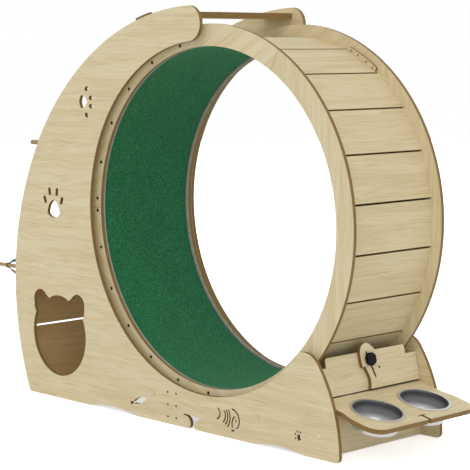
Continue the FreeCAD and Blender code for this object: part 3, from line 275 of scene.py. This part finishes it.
def plankFinish(name):
    finish = Finish(name)
    x, y, z = fromAxis(finish)
    radial = finish.join(x, 0.0, z)
    angle = finish.maths("ARCTAN2", z, x)
    number = finish.maths("ROUND", finish.maths("DIVIDE", angle, 2 * math.pi / wheel["planks"]))
    jumble = finish.maths("SINE", finish.maths("MULTIPLY", number, 12.9))
    own = finish.maths("FRACT", finish.maths("MULTIPLY", jumble, 43.7))  # a number of each plank's own
    along = finish.maths("ADD", y, finish.maths("MULTIPLY", own, 5.0))
    across = finish.maths("MULTIPLY", angle, wheel["plankRadius"])
    depth = finish.maths("ADD", finish.vectorMaths("LENGTH", radial), own)
    facing = finish.vectorMaths("DOT_PRODUCT", finish.place.outputs["Normal"],
                                finish.vectorMaths("NORMALIZE", radial))
    veneer = finish.maths("GREATER_THAN", finish.maths("ABSOLUTE", facing), faceLimit)
    return plyFinish(finish, along, across, depth, veneer, plankPly)


def widestFace(node):
    # the direction that most of a board's surface faces, with opposite faces counted together
    totals = {}
    side = Vector((0.31, 0.95, 0.17))
    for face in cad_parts[node].data.polygons:
        way = face.normal if face.normal.dot(side) > 0 else -face.normal
        key = tuple(round(part, 1) for part in way)
        area, summed = totals.get(key, (0.0, Vector((0, 0, 0))))
        totals[key] = (area + face.area, summed + way * face.area)
    return max(totals.values(), key=lambda total: total[0])[1].normalized()


def dress(node, material):
    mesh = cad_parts[node].data
    mesh.materials.clear()
    mesh.materials.append(material)
    mesh.shade_smooth()
    mesh.set_sharp_from_angle(angle=math.radians(crispFrom))


lengthways, crossways = (1, 0, 0), (0, 1, 0)
boards = (  # their grain runs crossways
    "top_crossbar", "rest_platform", "den_roof", "upper_end_board", "lower_end_board", "den_floor", "den_inner_board",
    "right_stretcher", "apron_board", "lock_backboard", "fish_slider", "feeding_tray",
)
denInside = {  # den board: the way its inner face looks; that face gets painted shade
    "den_roof": (0, 0, -1),
    "upper_end_board": (1, 0, 0),
    "lower_end_board": (1, 0, 0),
    "den_floor": (0, 0, 1),
    "den_inner_board": (-1, 0, 0),
}
for order, node in enumerate(boards):
    dress(node, boardFinish("ply_" + node, widestFace(node), crossways, 0.37 * (order + 1), denInside.get(node)))
upright = {  # upright board: how far its grain is shifted
    "front_panel": 0.0,
    "back_panel": 2.1,
    "front_joint_plates": 5.3,
    "back_joint_plates": 6.3,
}
for node, shift in upright.items():
    dress(node, boardFinish("ply_" + node, crossways, lengthways, shift))
for node in ("front_ring_segments", "back_ring_segments"):
    dress(node, ringFinish("ply_" + node))
dress("tread_planks", plankFinish("ply_planks"))
print("boards, panels, rings and planks finished")

plastics = {
    "roller_plastic": {"colour": paint(232, 229, 220), "dark": paint(205, 201, 190), "rough": 0.42, "shine": 0.5},
    "knob_plastic": {"colour": paint(10, 11, 13), "dark": paint(5, 6, 8), "rough": 0.62, "shine": 0.16},
    "collar_plastic": {"colour": paint(148, 124, 72), "dark": paint(96, 78, 40), "rough": 0.45, "shine": 0.25},
    "dark_trim": {"colour": paint(118, 101, 66), "dark": paint(88, 73, 44), "rough": 0.60, "shine": 0.3},
    # dark brown heads; on the wheel's rings this dark colour is painted shade, standing for the shade in the screws'
    # holes
    "dark_screws": {"colour": paint(58, 42, 20), "dark": paint(36, 26, 12), "rough": 0.75, "shine": 0.05},
    "pale_screws": {"colour": paint(158, 136, 92), "dark": paint(128, 106, 66), "rough": 0.65, "shine": 0.2},
    "bolt_caps": {"colour": paint(214, 200, 164), "dark": paint(204, 188, 150), "rough": 0.60, "shine": 0.2},
}


def plasticFinish(name, look):
    finish = Finish(name)
    place = finish.place.outputs["Object"]
    grain = finish.noise(place, size=900.0, detail=2.0)
    cloud = finish.noise(place, size=60.0, detail=3.0)
    softened = finish.soften(0.0006)
    colour = finish.mix(finish.range(cloud, 0.35, 0.7), look["colour"], look["dark"])
    colour = finish.mix(finish.maths("MULTIPLY", finish.worn(softened), 0.3), colour, look["colour"])
    finish.set(Base_Color=colour, Specular_IOR_Level=look["shine"],
               Roughness=finish.range(grain, 0.3, 0.7, look["rough"] - 0.06, look["rough"] + 0.08),
               Normal=finish.bump(grain, 0.0001, strength=0.35, normal=softened))
    return finish.material


metals = {
    "fastener_steel": {"colour": paint(214, 206, 182), "dark": paint(184, 174, 146), "rough": 0.50},
    "bearing_steel": {"colour": paint(206, 206, 208), "dark": paint(158, 158, 162), "rough": 0.22},
}


def metalFinish(name, look):
    finish = Finish(name)
    place = finish.place.outputs["Object"]
    scuffs = finish.noise(place, size=420.0, detail=4.0, rough=0.65)
    cloud = finish.noise(place, size=70.0, detail=3.0)
    softened = finish.soften(0.0004)
    finish.set(Base_Color=finish.mix(finish.range(cloud, 0.35, 0.7), look["colour"], look["dark"]),
               Metallic=1.0, Roughness=finish.range(scuffs, 0.3, 0.75, look["rough"] - 0.06, look["rough"] + 0.16),
               Normal=finish.bump(scuffs, 0.00004, strength=0.4, normal=softened))
    return finish.material


bowls = {
    "steel": paint(205, 204, 203),
    "shade": paint(176, 175, 174),
    # painted light and shade inside the bowl: a painted reflection on its floor, painted shade on its wall, darkest
    # under the rim
    "floor": paint(238, 238, 240),
    "inside": paint(150, 150, 154),
    "insideTop": paint(84, 84, 87),
    "centreX": 0.68621,
    "centreY": 0.088,
    "centreZ": 0.11780,
    "tilt": math.radians(13.0),
    "mouth": 0.0622,  # radius inside the rolled rim
    "wallFoot": (-0.041, -0.026),  # heights, from the rim down, over which the painted light and shade inside the bowl changes
    "wallTop": (-0.024, -0.005),
    "linesPerMetre": 2600.0,
    "lineDepth": 0.00003,
    "metal": 0.72,
    "rough": 0.30,
}


def spunFinish(name, look):
    # polished sheet steel with fine rings left by the spinning lathe; inside, a painted reflection on the floor and
    # painted shade up the wall to the rim
    finish = Finish(name)
    tiltCos, tiltSin = math.cos(look["tilt"]), math.sin(look["tilt"])
    x, y, z = finish.split(finish.place.outputs["Object"])
    x = finish.maths("SUBTRACT", x, look["centreX"])
    y = finish.maths("SUBTRACT", y, finish.maths("MULTIPLY", finish.maths("SIGN", y), look["centreY"]))
    z = finish.maths("SUBTRACT", z, look["centreZ"])
    lean = finish.maths("SUBTRACT", finish.maths("MULTIPLY", x, tiltCos), finish.maths("MULTIPLY", z, tiltSin))
    rise = finish.maths("ADD", finish.maths("MULTIPLY", x, tiltSin), finish.maths("MULTIPLY", z, tiltCos))
    radius = finish.vectorMaths("LENGTH", finish.join(lean, y, 0.0))
    fine = [finish.maths("MULTIPLY", way, look["linesPerMetre"]) for way in (radius, rise)]
    lines = finish.noise(finish.join(*fine, 0.0), detail=2.0, rough=0.6)
    smears = finish.noise(finish.place.outputs["Object"], size=45.0, detail=3.0)
    colour = finish.mix(finish.range(lines, 0.35, 0.7, 0.0, 0.35), look["steel"], look["shade"])
    # painted reflection on the bowl's floor, painted shade up its wall, darkest just under the rim
    paintedLightAndShade = finish.mix(finish.range(rise, *look["wallFoot"]), look["floor"], look["inside"])
    paintedLightAndShade = finish.mix(finish.range(rise, *look["wallTop"]), paintedLightAndShade, look["insideTop"])
    within = finish.maths("LESS_THAN", radius, look["mouth"])
    share = finish.maths("DIVIDE", lean, radius)
    outward = finish.join(finish.maths("MULTIPLY", share, tiltCos), finish.maths("DIVIDE", y, radius),
                          finish.maths("MULTIPLY", share, -tiltSin))
    facing = finish.vectorMaths("DOT_PRODUCT", finish.place.outputs["Normal"], outward)
    inward = finish.maths("LESS_THAN", facing, 0.25)
    colour = finish.mix(finish.maths("MULTIPLY", within, inward), colour, paintedLightAndShade)
    finish.set(Base_Color=colour, Metallic=look["metal"], Specular_IOR_Level=0.6,
               Roughness=finish.range(smears, 0.3, 0.7, look["rough"], look["rough"] + 0.03),
               Normal=finish.bump(lines, look["lineDepth"], strength=0.25))
    return finish.material


turned = {
    "wood": paint(176, 152, 104),
    "dark": paint(121, 98, 60),
    "grainAlong": 25.0,
    "grainAcross": 600.0,
    "toolMarks": 260.0,
    "rough": 0.42,
}


def turnedFinish(name, look):
    finish = Finish(name)
    x, y, z = finish.split(finish.place.outputs["Object"])
    grain = finish.noise(finish.join(finish.maths("MULTIPLY", x, look["grainAlong"]),
                                     finish.maths("MULTIPLY", y, look["grainAcross"]),
                                     finish.maths("MULTIPLY", z, look["grainAcross"])), detail=3.0)
    rings = finish.noise(finish.join(finish.maths("MULTIPLY", x, look["toolMarks"]), 0.0, 0.0), detail=2.0)
    softened = finish.soften(0.0008)
    colour = finish.mix(finish.range(grain, 0.35, 0.7), look["wood"], look["dark"])
    colour = finish.mix(finish.range(rings, 0.58, 0.70, 0.0, 0.5), colour, look["dark"])
    finish.set(Base_Color=colour, Roughness=finish.range(grain, 0.3, 0.7, look["rough"], look["rough"] + 0.15),
               Specular_IOR_Level=0.45, Normal=finish.bump(grain, 0.0002, strength=0.4, normal=softened))
    return finish.material


corners = ("front_left", "front_right", "back_left", "back_right")
hardParts = {  # finish: the nodes that have it
    "roller_plastic": [corner + "_roller" for corner in corners],
    "knob_plastic": ["lock_knob"],
    "collar_plastic": ["teaser_collar"],
    "dark_trim": ["outline_strip"],
    "bolt_caps": ["roller_axle_bolts"],
    "bearing_steel": [corner + "_bearings" for corner in corners],
    "fastener_steel": ["front_panel_screws", "back_panel_screws", "roller_spacers", "roller_washers", "roller_nuts",
                       "lock_bolt", "lock_washer"],
}
plasticMade = {name: plasticFinish(name, look) for name, look in plastics.items()}
metalMade = {name: metalFinish(name, look) for name, look in metals.items()}
for name, nodes in hardParts.items():
    for node in nodes:
        dress(node, plasticMade.get(name) or metalMade[name])
bowlSteel = spunFinish("bowl_steel", bowls)
for node in ("front_bowl", "rear_bowl"):
    dress(node, bowlSteel)
toyWood = turnedFinish("toy_wood", turned)
for node in ("teaser_rod", "toy_peg"):
    dress(node, toyWood)
print("plastic, steel and turned parts finished")


def meshObject(name, points, faces, material, body):
    mesh = bpy.data.meshes.new(name)
    mesh.from_pydata([tuple(map(float, point)) for point in points], [], faces)
    mesh.validate()
    mesh.materials.append(material)
    mesh.shade_smooth()
    made = bpy.data.objects.new(name, mesh)
    scene.collection.objects.link(made)
    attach(made, body)
    return made


def hoop(profile, steps, rough):
    # a closed section of (radius, y) points carried round the wheel's axis; rough moves points in and out
    count = len(profile)
    points, faces = [], []
    for step in range(steps):
        angle = 2 * math.pi * step / steps
        for place, (radius, y) in enumerate(profile):
            reach = radius + rough[step, place]
            points.append((wheel["centreX"] + reach * math.cos(angle), y, wheel["centreZ"] + reach * math.sin(angle)))
    for step in range(steps):
        ahead = (step + 1) % steps
        for place in range(count):
            after = (place + 1) % count
            faces.append((step * count + place, step * count + after, ahead * count + after, ahead * count + place))
    return points, faces


carpet = {
    "colour": paint(46, 124, 78),
    "dark": paint(22, 84, 50),
    "light": paint(92, 166, 122),
    "lightShare": 0.42,
    "darkShare": 0.80,
    "wornShare": 0.16,
    "sheen": paint(150, 200, 160),
    "back": paint(26, 22, 16),  # rubber backing, seen in the gaps between planks
    "backRadius": 0.4545,
    "innerRadius": 0.4470,
    "outerRadius": 0.4556,
    "halfWidth": 0.1508,
    "steps": 900,
    "across": 90,
    "pile": 0.0011,  # how much the tufts rise and fall
    "tuftDepth": 0.0022,  # the same in the material's bump
    "sideRoll": 0.0012,  # how far the pile rolls over at the cut sides
    "seed": 11,
}


def carpetFinish(name, look):
    finish = Finish(name)
    place = finish.place.outputs["Object"]
    tufts = finish.noise(place, size=420.0, detail=2.0, rough=0.7)
    clumps = finish.noise(place, size=250.0, detail=3.0, rough=0.75)
    worn = finish.noise(place, size=14.0, detail=3.0)
    colour = finish.mix(finish.range(tufts, 0.40, 0.60), look["dark"], look["colour"])
    colour = finish.mix(finish.range(clumps, 0.52, 0.62, 0.0, look["lightShare"]), colour, look["light"])
    colour = finish.mix(finish.range(clumps, 0.48, 0.38, 0.0, look["darkShare"]), colour, look["dark"])
    colour = finish.mix(finish.range(worn, 0.35, 0.70, 0.0, look["wornShare"]), colour, look["dark"])
    height = finish.maths("ADD", finish.maths("MULTIPLY", tufts, 0.6), finish.maths("MULTIPLY", clumps, 0.4))
    x, y, z = fromAxis(finish)
    radius = finish.vectorMaths("LENGTH", finish.join(x, 0.0, z))
    colour = finish.mix(finish.maths("GREATER_THAN", radius, look["backRadius"]), colour, look["back"])
    finish.set(Base_Color=colour, Roughness=0.93, Specular_IOR_Level=0.12, Sheen_Weight=0.25, Sheen_Roughness=0.5,
               Sheen_Tint=look["sheen"], Normal=finish.bump(height, look["tuftDepth"], strength=0.8))
    return finish.material


def makeCarpet(look):
    across = look["across"]
    half, inner, outer = look["halfWidth"], look["innerRadius"], look["outerRadius"]
    profile = [(inner, -half + 2 * half * place / across) for place in range(across + 1)]
    profile += [(outer, half), (outer, 0.0), (outer, -half)]
    draws = np.random.default_rng(look["seed"])
    rough = np.zeros((look["steps"], len(profile)))
    tufts = draws.random((look["steps"], across + 1))
    tufts = 0.6 * tufts + 0.4 * (np.roll(tufts, 1, 0) + np.roll(tufts, 1, 1)) / 2
    rough[:, : across + 1] = (tufts - tufts.min()) / np.ptp(tufts) * look["pile"]
    rough[:, [0, across]] += look["sideRoll"]
    points, faces = hoop(profile, look["steps"], rough)
    made = meshObject("carpet_runner", points, faces, carpetFinish("green_carpet", look), "wheel")
    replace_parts(made, "running_carpet")


makeCarpet(carpet)

edging = {
    "colour": paint(176, 174, 168),
    "dark": paint(136, 132, 123),
    "light": paint(196, 195, 190),
    "innerRadius": 0.4426,
    "outerRadius": 0.4556,
    "nearSide": 0.1513,
    "farSide": 0.1576,
    "corner": 0.0006,
    "fuzz": 0.00028,
    "fibreDepth": 0.0012,
    "archSteps": 10,
    "steps": 720,
    "seed": 5,
}


def edgingFinish(name, look):
    finish = Finish(name)
    place = finish.place.outputs["Object"]
    fibres = finish.noise(place, size=650.0, detail=4.0, rough=0.7, warp=0.6)
    cloud = finish.noise(place, size=90.0, detail=2.0)
    colour = finish.mix(finish.range(fibres, 0.35, 0.68), look["dark"], look["colour"])
    colour = finish.mix(finish.range(cloud, 0.4, 0.7, 0.0, 0.3), colour, look["light"])
    finish.set(Base_Color=colour, Roughness=0.9, Specular_IOR_Level=0.15, Sheen_Weight=0.15,
               Normal=finish.bump(fibres, look["fibreDepth"], strength=0.7))
    return finish.material


def makeEdging(look):
    felt = edgingFinish("grey_felt", look)
    near, far, inner, outer = look["nearSide"], look["farSide"], look["innerRadius"], look["outerRadius"]
    crown, corner, bits = (far - near) / 2, look["corner"], look["archSteps"] + 1
    arch = []
    for bit in range(bits):
        turn = math.pi * bit / look["archSteps"]
        arch.append((inner + crown * (1 - math.sin(turn)), near + crown * (1 - math.cos(turn))))
    arch += [(outer - corner, far), (outer, far - corner), (outer, near + corner), (outer - corner, near)]
    draws = np.random.default_rng(look["seed"])
    for side, name in ((-1, "front"), (1, "back")):
        profile = [(radius, y * side) for radius, y in arch]
        rough = np.zeros((look["steps"], len(profile)))
        rough[:, :bits] = draws.random((look["steps"], bits)) * look["fuzz"]
        points, faces = hoop(profile, look["steps"], rough)
        if side < 0:
            faces = [face[::-1] for face in faces]
        made = meshObject(name + "_felt_edging", points, faces, felt, "wheel")
        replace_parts(made, name + "_edge_strip")


makeEdging(edging)
print("carpet and felt edging laid")

screws = {
    "radius": 0.0036,
    "stand": 0.0006,  # how far the rim stands off the board
    "dome": 0.0002,
    "sink": 0.0008,
    "crossReach": 0.62,  # share of the radius that the recess reaches
    "crossWidth": 0.34,
    "crossDepth": 0.00045,
    "rings": (0.22, 0.45, 0.62, 0.68, 0.90, 1.0),  # shares of the radius, as the next one
    "foot": 0.96,
    "spokes": 32,
    "crispFrom": 35,
}


def screwHeads(name, places, material, body, size, look=screws):
    # places are (point, outward direction); a shallow dome with a crossed recess on each
    points, faces = [], []
    radius, rings, spokes = look["radius"] * size, look["rings"], look["spokes"]
    angles = [2 * math.pi * spoke / spokes for spoke in range(spokes)]
    shape = [(0.0, 0.0, look["stand"] - look["crossDepth"])]  # one head: distance out, angle, height
    for ring in rings:
        for angle in angles:
            inCross = ring <= look["crossReach"] and abs(math.sin(2 * angle)) * ring < look["crossWidth"]
            rise = -look["crossDepth"] * (1 - 0.3 * ring) if inCross else look["dome"] * (1 - ring ** 2)
            shape.append((radius * ring, angle, look["stand"] + rise))
    shape += [(radius * look["foot"], angle, -look["sink"]) for angle in angles] + [(0.0, 0.0, -look["sink"])]
    for point, outward in places:
        start = len(points)
        turn = Vector(outward).to_track_quat("Z", "Y").to_matrix()
        for reach, angle, rise in shape:
            points.append(Vector(point) + turn @ Vector((reach * math.cos(angle), reach * math.sin(angle), rise)))
        last = start + 1 + len(rings) * spokes
        for spoke in range(spokes):
            ahead = (spoke + 1) % spokes
            faces.append((start, start + 1 + spoke, start + 1 + ahead))
            for ring in range(len(rings)):
                low = start + 1 + ring * spokes
                high = low + spokes
                faces.append((low + spoke, high + spoke, high + ahead, low + ahead))
            faces.append((last + spoke, last + spokes, last + ahead))
    made = meshObject(name, points, faces, material, body)
    made.data.set_sharp_from_angle(angle=math.radians(look["crispFrom"]))
    return made


ringScrews = {  # angles in degrees about the wheel's axis
    "radius": 0.457,
    "face": 0.168,
    "angles": (103.8, 118.8, 133.8, 148.8, 163.8, 193.8, 208.8, 223.8, 238.8, 253.8, 268.8,
               176.7, 180.9),  # the last two stand at the joint of two segments
    "size": 1.2,
}
plateScrews = {
    "radius": 0.4735,
    "face": 0.152,
    "seams": (60.0, 180.0, 300.0),
    "aside": (-5.2, -2.0, 2.0, 5.2),
    "size": 0.8,
}


def ringPoint(look, degrees, side):
    angle, radius = math.radians(degrees), look["radius"]
    return (wheel["centreX"] + radius * math.cos(angle), side * look["face"],
            wheel["centreZ"] + radius * math.sin(angle))


for side, name in ((-1, "front"), (1, "back")):
    heads = [(ringPoint(ringScrews, angle, side), (0, side, 0)) for angle in ringScrews["angles"]]
    # the ring screws' dark colour is painted shade, as if they sat in shaded holes
    screwHeads(name + "_ring_screws", heads, plasticMade["dark_screws"], "wheel",
               size=ringScrews["size"])
    heads = [(ringPoint(plateScrews, seam + aside, side), (0, -side, 0))
             for seam in plateScrews["seams"] for aside in plateScrews["aside"]]
    screwHeads(name + "_plate_screws", heads, plasticMade["pale_screws"], "wheel",
               size=plateScrews["size"])

panelScrews = {
    "cadStand": 0.0008,  # how far the frame's own heads stand off the panel
    "within": 0.0001,  # of the outermost face
    "apart": 0.02,
    "size": 0.92,
}


def nodeScrews(node):
    # where a node's screw heads are: the middle of each cluster of points on the outermost face
    found = []
    corners = [vertex.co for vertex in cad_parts[node].data.vertices]
    face = max(abs(corner.y) for corner in corners)
    for corner in corners:
        if abs(corner.y) > face - panelScrews["within"]:
            near = next((group for group in found if (group[0] - corner).length < panelScrews["apart"]), None)
            if near:
                near.append(corner.copy())
            else:
                found.append([corner.copy()])
    return [sum(group, Vector()) / len(group) for group in found]


for side, name in ((-1, "front"), (1, "back")):
    outward = Vector((0, side, 0))
    heads = [(spot - outward * panelScrews["cadStand"], outward) for spot in nodeScrews(name + "_panel_screws")]
    made = screwHeads(name + "_panel_screw_heads", heads, metalMade["fastener_steel"], "stand",
                      size=panelScrews["size"])
    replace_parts(made, name + "_panel_screws")

lockScrew = {  # the small screw beside the knob, measured on the leaning lock board
    "foot": (0.583029, 0.037, 0.1432),
    "lean": math.radians(13.0),
    "out": 0.0103,
    "up": 0.051,
    "size": 0.8,
}
leanCos, leanSin = math.cos(lockScrew["lean"]), math.sin(lockScrew["lean"])
lockOut = Vector((leanCos, 0, leanSin))
lockSpot = Vector(lockScrew["foot"]) + lockOut * lockScrew["out"] + Vector((-leanSin, 0, leanCos)) * lockScrew["up"]
screwHeads("lock_plate_screw", [(lockSpot, lockOut)], plasticMade["dark_screws"], "lock_slider",
           size=lockScrew["size"])
print("screws set")

plumes = {  # feathers: colours, then lengths in metres and shares
    "green": paint(34, 112, 98),
    "greenDark": paint(16, 70, 64),
    "pink": paint(178, 104, 84),
    "pinkDark": paint(132, 66, 52),
    "length": 0.052,
    "halfWidth": 0.0052,
    "bow": 0.0015,  # how far the quill bends
    "quill": 0.0007,  # its radius at the root
    "quillTaper": 0.8,
    "quillSteps": 12,
    "quillSides": 8,
    "barbWidths": (0.00042, 0.00040, 0.00034, 0.00024, 0.00008),
    "barbThick": 0.00016,
    "barbDepth": 0.0004,  # bump
    "rootX": -0.72187,
    "rootY": -0.150,
    "rodZ": 0.352,
    "rootRise": 0.00748,
    "spread": math.radians(17.0),
    "barbs": 70,  # on each side of the quill
    "firstBarb": 0.06,  # shares of the quill's length
    "barbSpan": 0.92,
    "barbSteps": (0.0, 0.25, 0.5, 0.75, 1.0),
    "barbRoot": 0.93,
    "barbReach": (0.85, 1.0),  # the barbs' ends are a little uneven
    "sweep": (0.6, 0.9),
    "ruffle": 0.0005,
    "seed": 3,
}


def plumeFinish(name, colour, dark, look=plumes):
    finish = Finish(name)
    place = finish.place.outputs["Object"]
    fibres = finish.noise(place, size=900.0, detail=3.0, rough=0.6)
    patches = finish.noise(place, size=60.0, detail=2.0)
    shade = finish.mix(finish.range(fibres, 0.3, 0.7), colour, dark)
    shade = finish.mix(finish.range(patches, 0.5, 0.75, 0.0, 0.4), shade, dark)
    finish.set(Base_Color=shade, Roughness=0.7, Specular_IOR_Level=0.2, Sheen_Weight=0.3,
               Normal=finish.bump(fibres, look["barbDepth"], strength=0.5))
    return finish.material


def makePlume(name, node, material, side, look=plumes):
    draws = random.Random(look["seed"] + side)
    points, faces = [], []
    length, tilt = look["length"], look["spread"] * side

    def settle(along, out, lift):  # along the quill, out to the side (z), lift in y
        rise = out + look["bow"] * math.sin(along / length * math.pi) * side
        x = along * math.cos(tilt) - rise * math.sin(tilt)
        z = along * math.sin(tilt) + rise * math.cos(tilt)
        return (look["rootX"] + x, look["rootY"] + lift, look["rodZ"] + side * look["rootRise"] + z)

    def addBarb(path):
        base, thick = len(points), look["barbThick"]
        for (along, out, lift), width in zip(path, look["barbWidths"]):
            points.extend([settle(along - width, out, lift - thick), settle(along + width, out, lift - thick),
                           settle(along + width, out, lift + thick), settle(along - width, out, lift + thick)])
        last = base + (len(path) - 1) * 4
        for near in range(base, last, 4):
            for corner in range(4):
                after = (corner + 1) % 4
                faces.append((near + corner, near + 4 + corner, near + 4 + after, near + after))
        faces.append((base, base + 1, base + 2, base + 3))
        faces.append((last + 3, last + 2, last + 1, last))

    steps, sides = look["quillSteps"], look["quillSides"]
    for step in range(steps + 1):
        thick = look["quill"] * (1 - look["quillTaper"] * step / steps)
        for corner in range(sides):
            angle = 2 * math.pi * corner / sides
            points.append(settle(length * step / steps, thick * math.cos(angle), thick * math.sin(angle)))
    for near in range(0, steps * sides, sides):
        for corner in range(sides):
            after = (corner + 1) % sides
            faces.append((near + corner, near + after, near + sides + after, near + sides + corner))
    faces.append(tuple(reversed(range(sides))))
    faces.append(tuple(range(steps * sides, (steps + 1) * sides)))
    for barb in range(look["barbs"]):
        share = look["firstBarb"] + look["barbSpan"] * barb / look["barbs"]
        width = look["halfWidth"] * math.sin(math.pi * min(1.0, share * 0.96)) ** 0.6  # full, then to a point
        reach = width * draws.uniform(*look["barbReach"])
        for way in (-1, 1):
            sweep = draws.uniform(*look["sweep"])
            lift = draws.uniform(-look["ruffle"], look["ruffle"])
            path = []
            for part in look["barbSteps"]:
                along = length * share * look["barbRoot"] + reach * part * sweep * (0.7 + 0.3 * part)
                path.append((min(along, length), way * reach * part, lift * part))
            addBarb(path)
    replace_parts(meshObject(name, points, faces, material, "teaser"), node)


greenPlume = plumeFinish("green_plume", plumes["green"], plumes["greenDark"])
pinkPlume = plumeFinish("pink_plume", plumes["pink"], plumes["pinkDark"])
makePlume("green_plume_feather", "green_feather", greenPlume, 1)
makePlume("pink_plume_feather", "pink_feather", pinkPlume, -1)
print("feathers tied")

viewpoint = {
    "place": (3.29900, -3.05766, 0.98416),
    "yaw": 46.31,
    "pitch": 6.32,
    "roll": -0.27,
    "lens": 127.0,
    "sensor": 36.0,
}
yaw, pitch, roll = (math.radians(viewpoint[name]) for name in ("yaw", "pitch", "roll"))
ahead = Vector((-math.sin(yaw) * math.cos(pitch), math.cos(yaw) * math.cos(pitch), -math.sin(pitch)))
right = Vector((math.cos(yaw), math.sin(yaw), 0.0))
up = right.cross(ahead)
rolledRight = right * math.cos(roll) + up * math.sin(roll)
rolledUp = up * math.cos(roll) - right * math.sin(roll)
turn = Matrix((rolledRight, rolledUp, -ahead)).transposed()
cameraData = bpy.data.cameras.new("camera")
cameraData.lens = viewpoint["lens"]
cameraData.sensor_width = viewpoint["sensor"]
camera = bpy.data.objects.new("camera", cameraData)
scene.collection.objects.link(camera)
camera.matrix_world = Matrix.Translation(viewpoint["place"]) @ turn.to_4x4()
scene.camera = camera
print("camera set")

studio = {
    "skyForObject": 0.70,
    "lamps": (  # name, strength, the way it comes from, softness in degrees
        ("key_light", 0.54, (0.35, -0.55, 1.0), 40),
        ("fill_light", 0.16, (-0.9, -0.8, 0.45), 70),
        ("low_light", 0.75, (1.0, -0.55, 0.06), 50),
    ),
    "floorColour": paint(240, 240, 238),
    "floorShade": paint(236, 236, 234),
    "floorRadius": 14.0,
    "floorDrop": 0.0004,
    "floorLift": 0.62,  # the floor's own glow near the object, which rises to 1 between these distances
    "liftNear": 0.9,
    "liftFar": 3.2,
}


def addSun(name, strength, fromWay, soft):
    data = bpy.data.lights.new(name, "SUN")
    data.energy = strength
    data.angle = math.radians(soft)
    lamp = bpy.data.objects.new(name, data)
    scene.collection.objects.link(lamp)
    lamp.rotation_mode = "QUATERNION"
    lamp.rotation_quaternion = Vector(fromWay).to_track_quat("Z", "Y")


for lamp in studio["lamps"]:
    addSun(*lamp)


def seenWays(tree):  # 1 for what the camera sees, straight or in a shiny surface
    path = tree.nodes.new("ShaderNodeLightPath")
    total = path.outputs["Is Camera Ray"]
    for name in ("Is Glossy Ray", "Is Transmission Ray"):
        add = tree.nodes.new("ShaderNodeMath")
        add.operation = "MAXIMUM"
        tree.links.new(total, add.inputs[0])
        tree.links.new(path.outputs[name], add.inputs[1])
        total = add.outputs[0]
    return total


world = bpy.data.worlds.new("studio")
scene.world = world
world.use_nodes = True
worldTree = world.node_tree
background = worldTree.nodes["Background"]
background.inputs["Color"].default_value = (1, 1, 1, 1)
strength = worldTree.nodes.new("ShaderNodeMapRange")
strength.inputs["To Min"].default_value = studio["skyForObject"]
strength.inputs["To Max"].default_value = 1.0
worldTree.links.new(seenWays(worldTree), strength.inputs["Value"])
worldTree.links.new(strength.outputs[0], background.inputs["Strength"])

floorMesh = bpy.data.meshes.new("floor")
build = bmesh.new()
bmesh.ops.create_circle(build, cap_ends=True, segments=96, radius=studio["floorRadius"])
build.to_mesh(floorMesh)
build.free()
floor = bpy.data.objects.new("floor", floorMesh)
scene.collection.objects.link(floor)
floor.location = (0, 0, -studio["floorDrop"])
floorFinish = Finish("studio_floor")
floorPlace = floorFinish.place.outputs["Object"]
mottle = floorFinish.noise(floorPlace, size=3.0, detail=2.0)
away = floorFinish.vectorMaths("LENGTH", floorPlace)
glow = floorFinish.range(away, studio["liftNear"], studio["liftFar"], studio["floorLift"], 1.0)
floorFinish.set(Base_Color=floorFinish.mix(mottle, studio["floorColour"], studio["floorShade"]), Roughness=0.9,
                Specular_IOR_Level=0.0, Emission_Color=(1, 1, 1, 1),
                Emission_Strength=floorFinish.maths("MULTIPLY", glow, seenWays(floorFinish.tree)))
floorMesh.materials.append(floorFinish.material)

scene.view_settings.view_transform = "Standard"
print("scene ready")
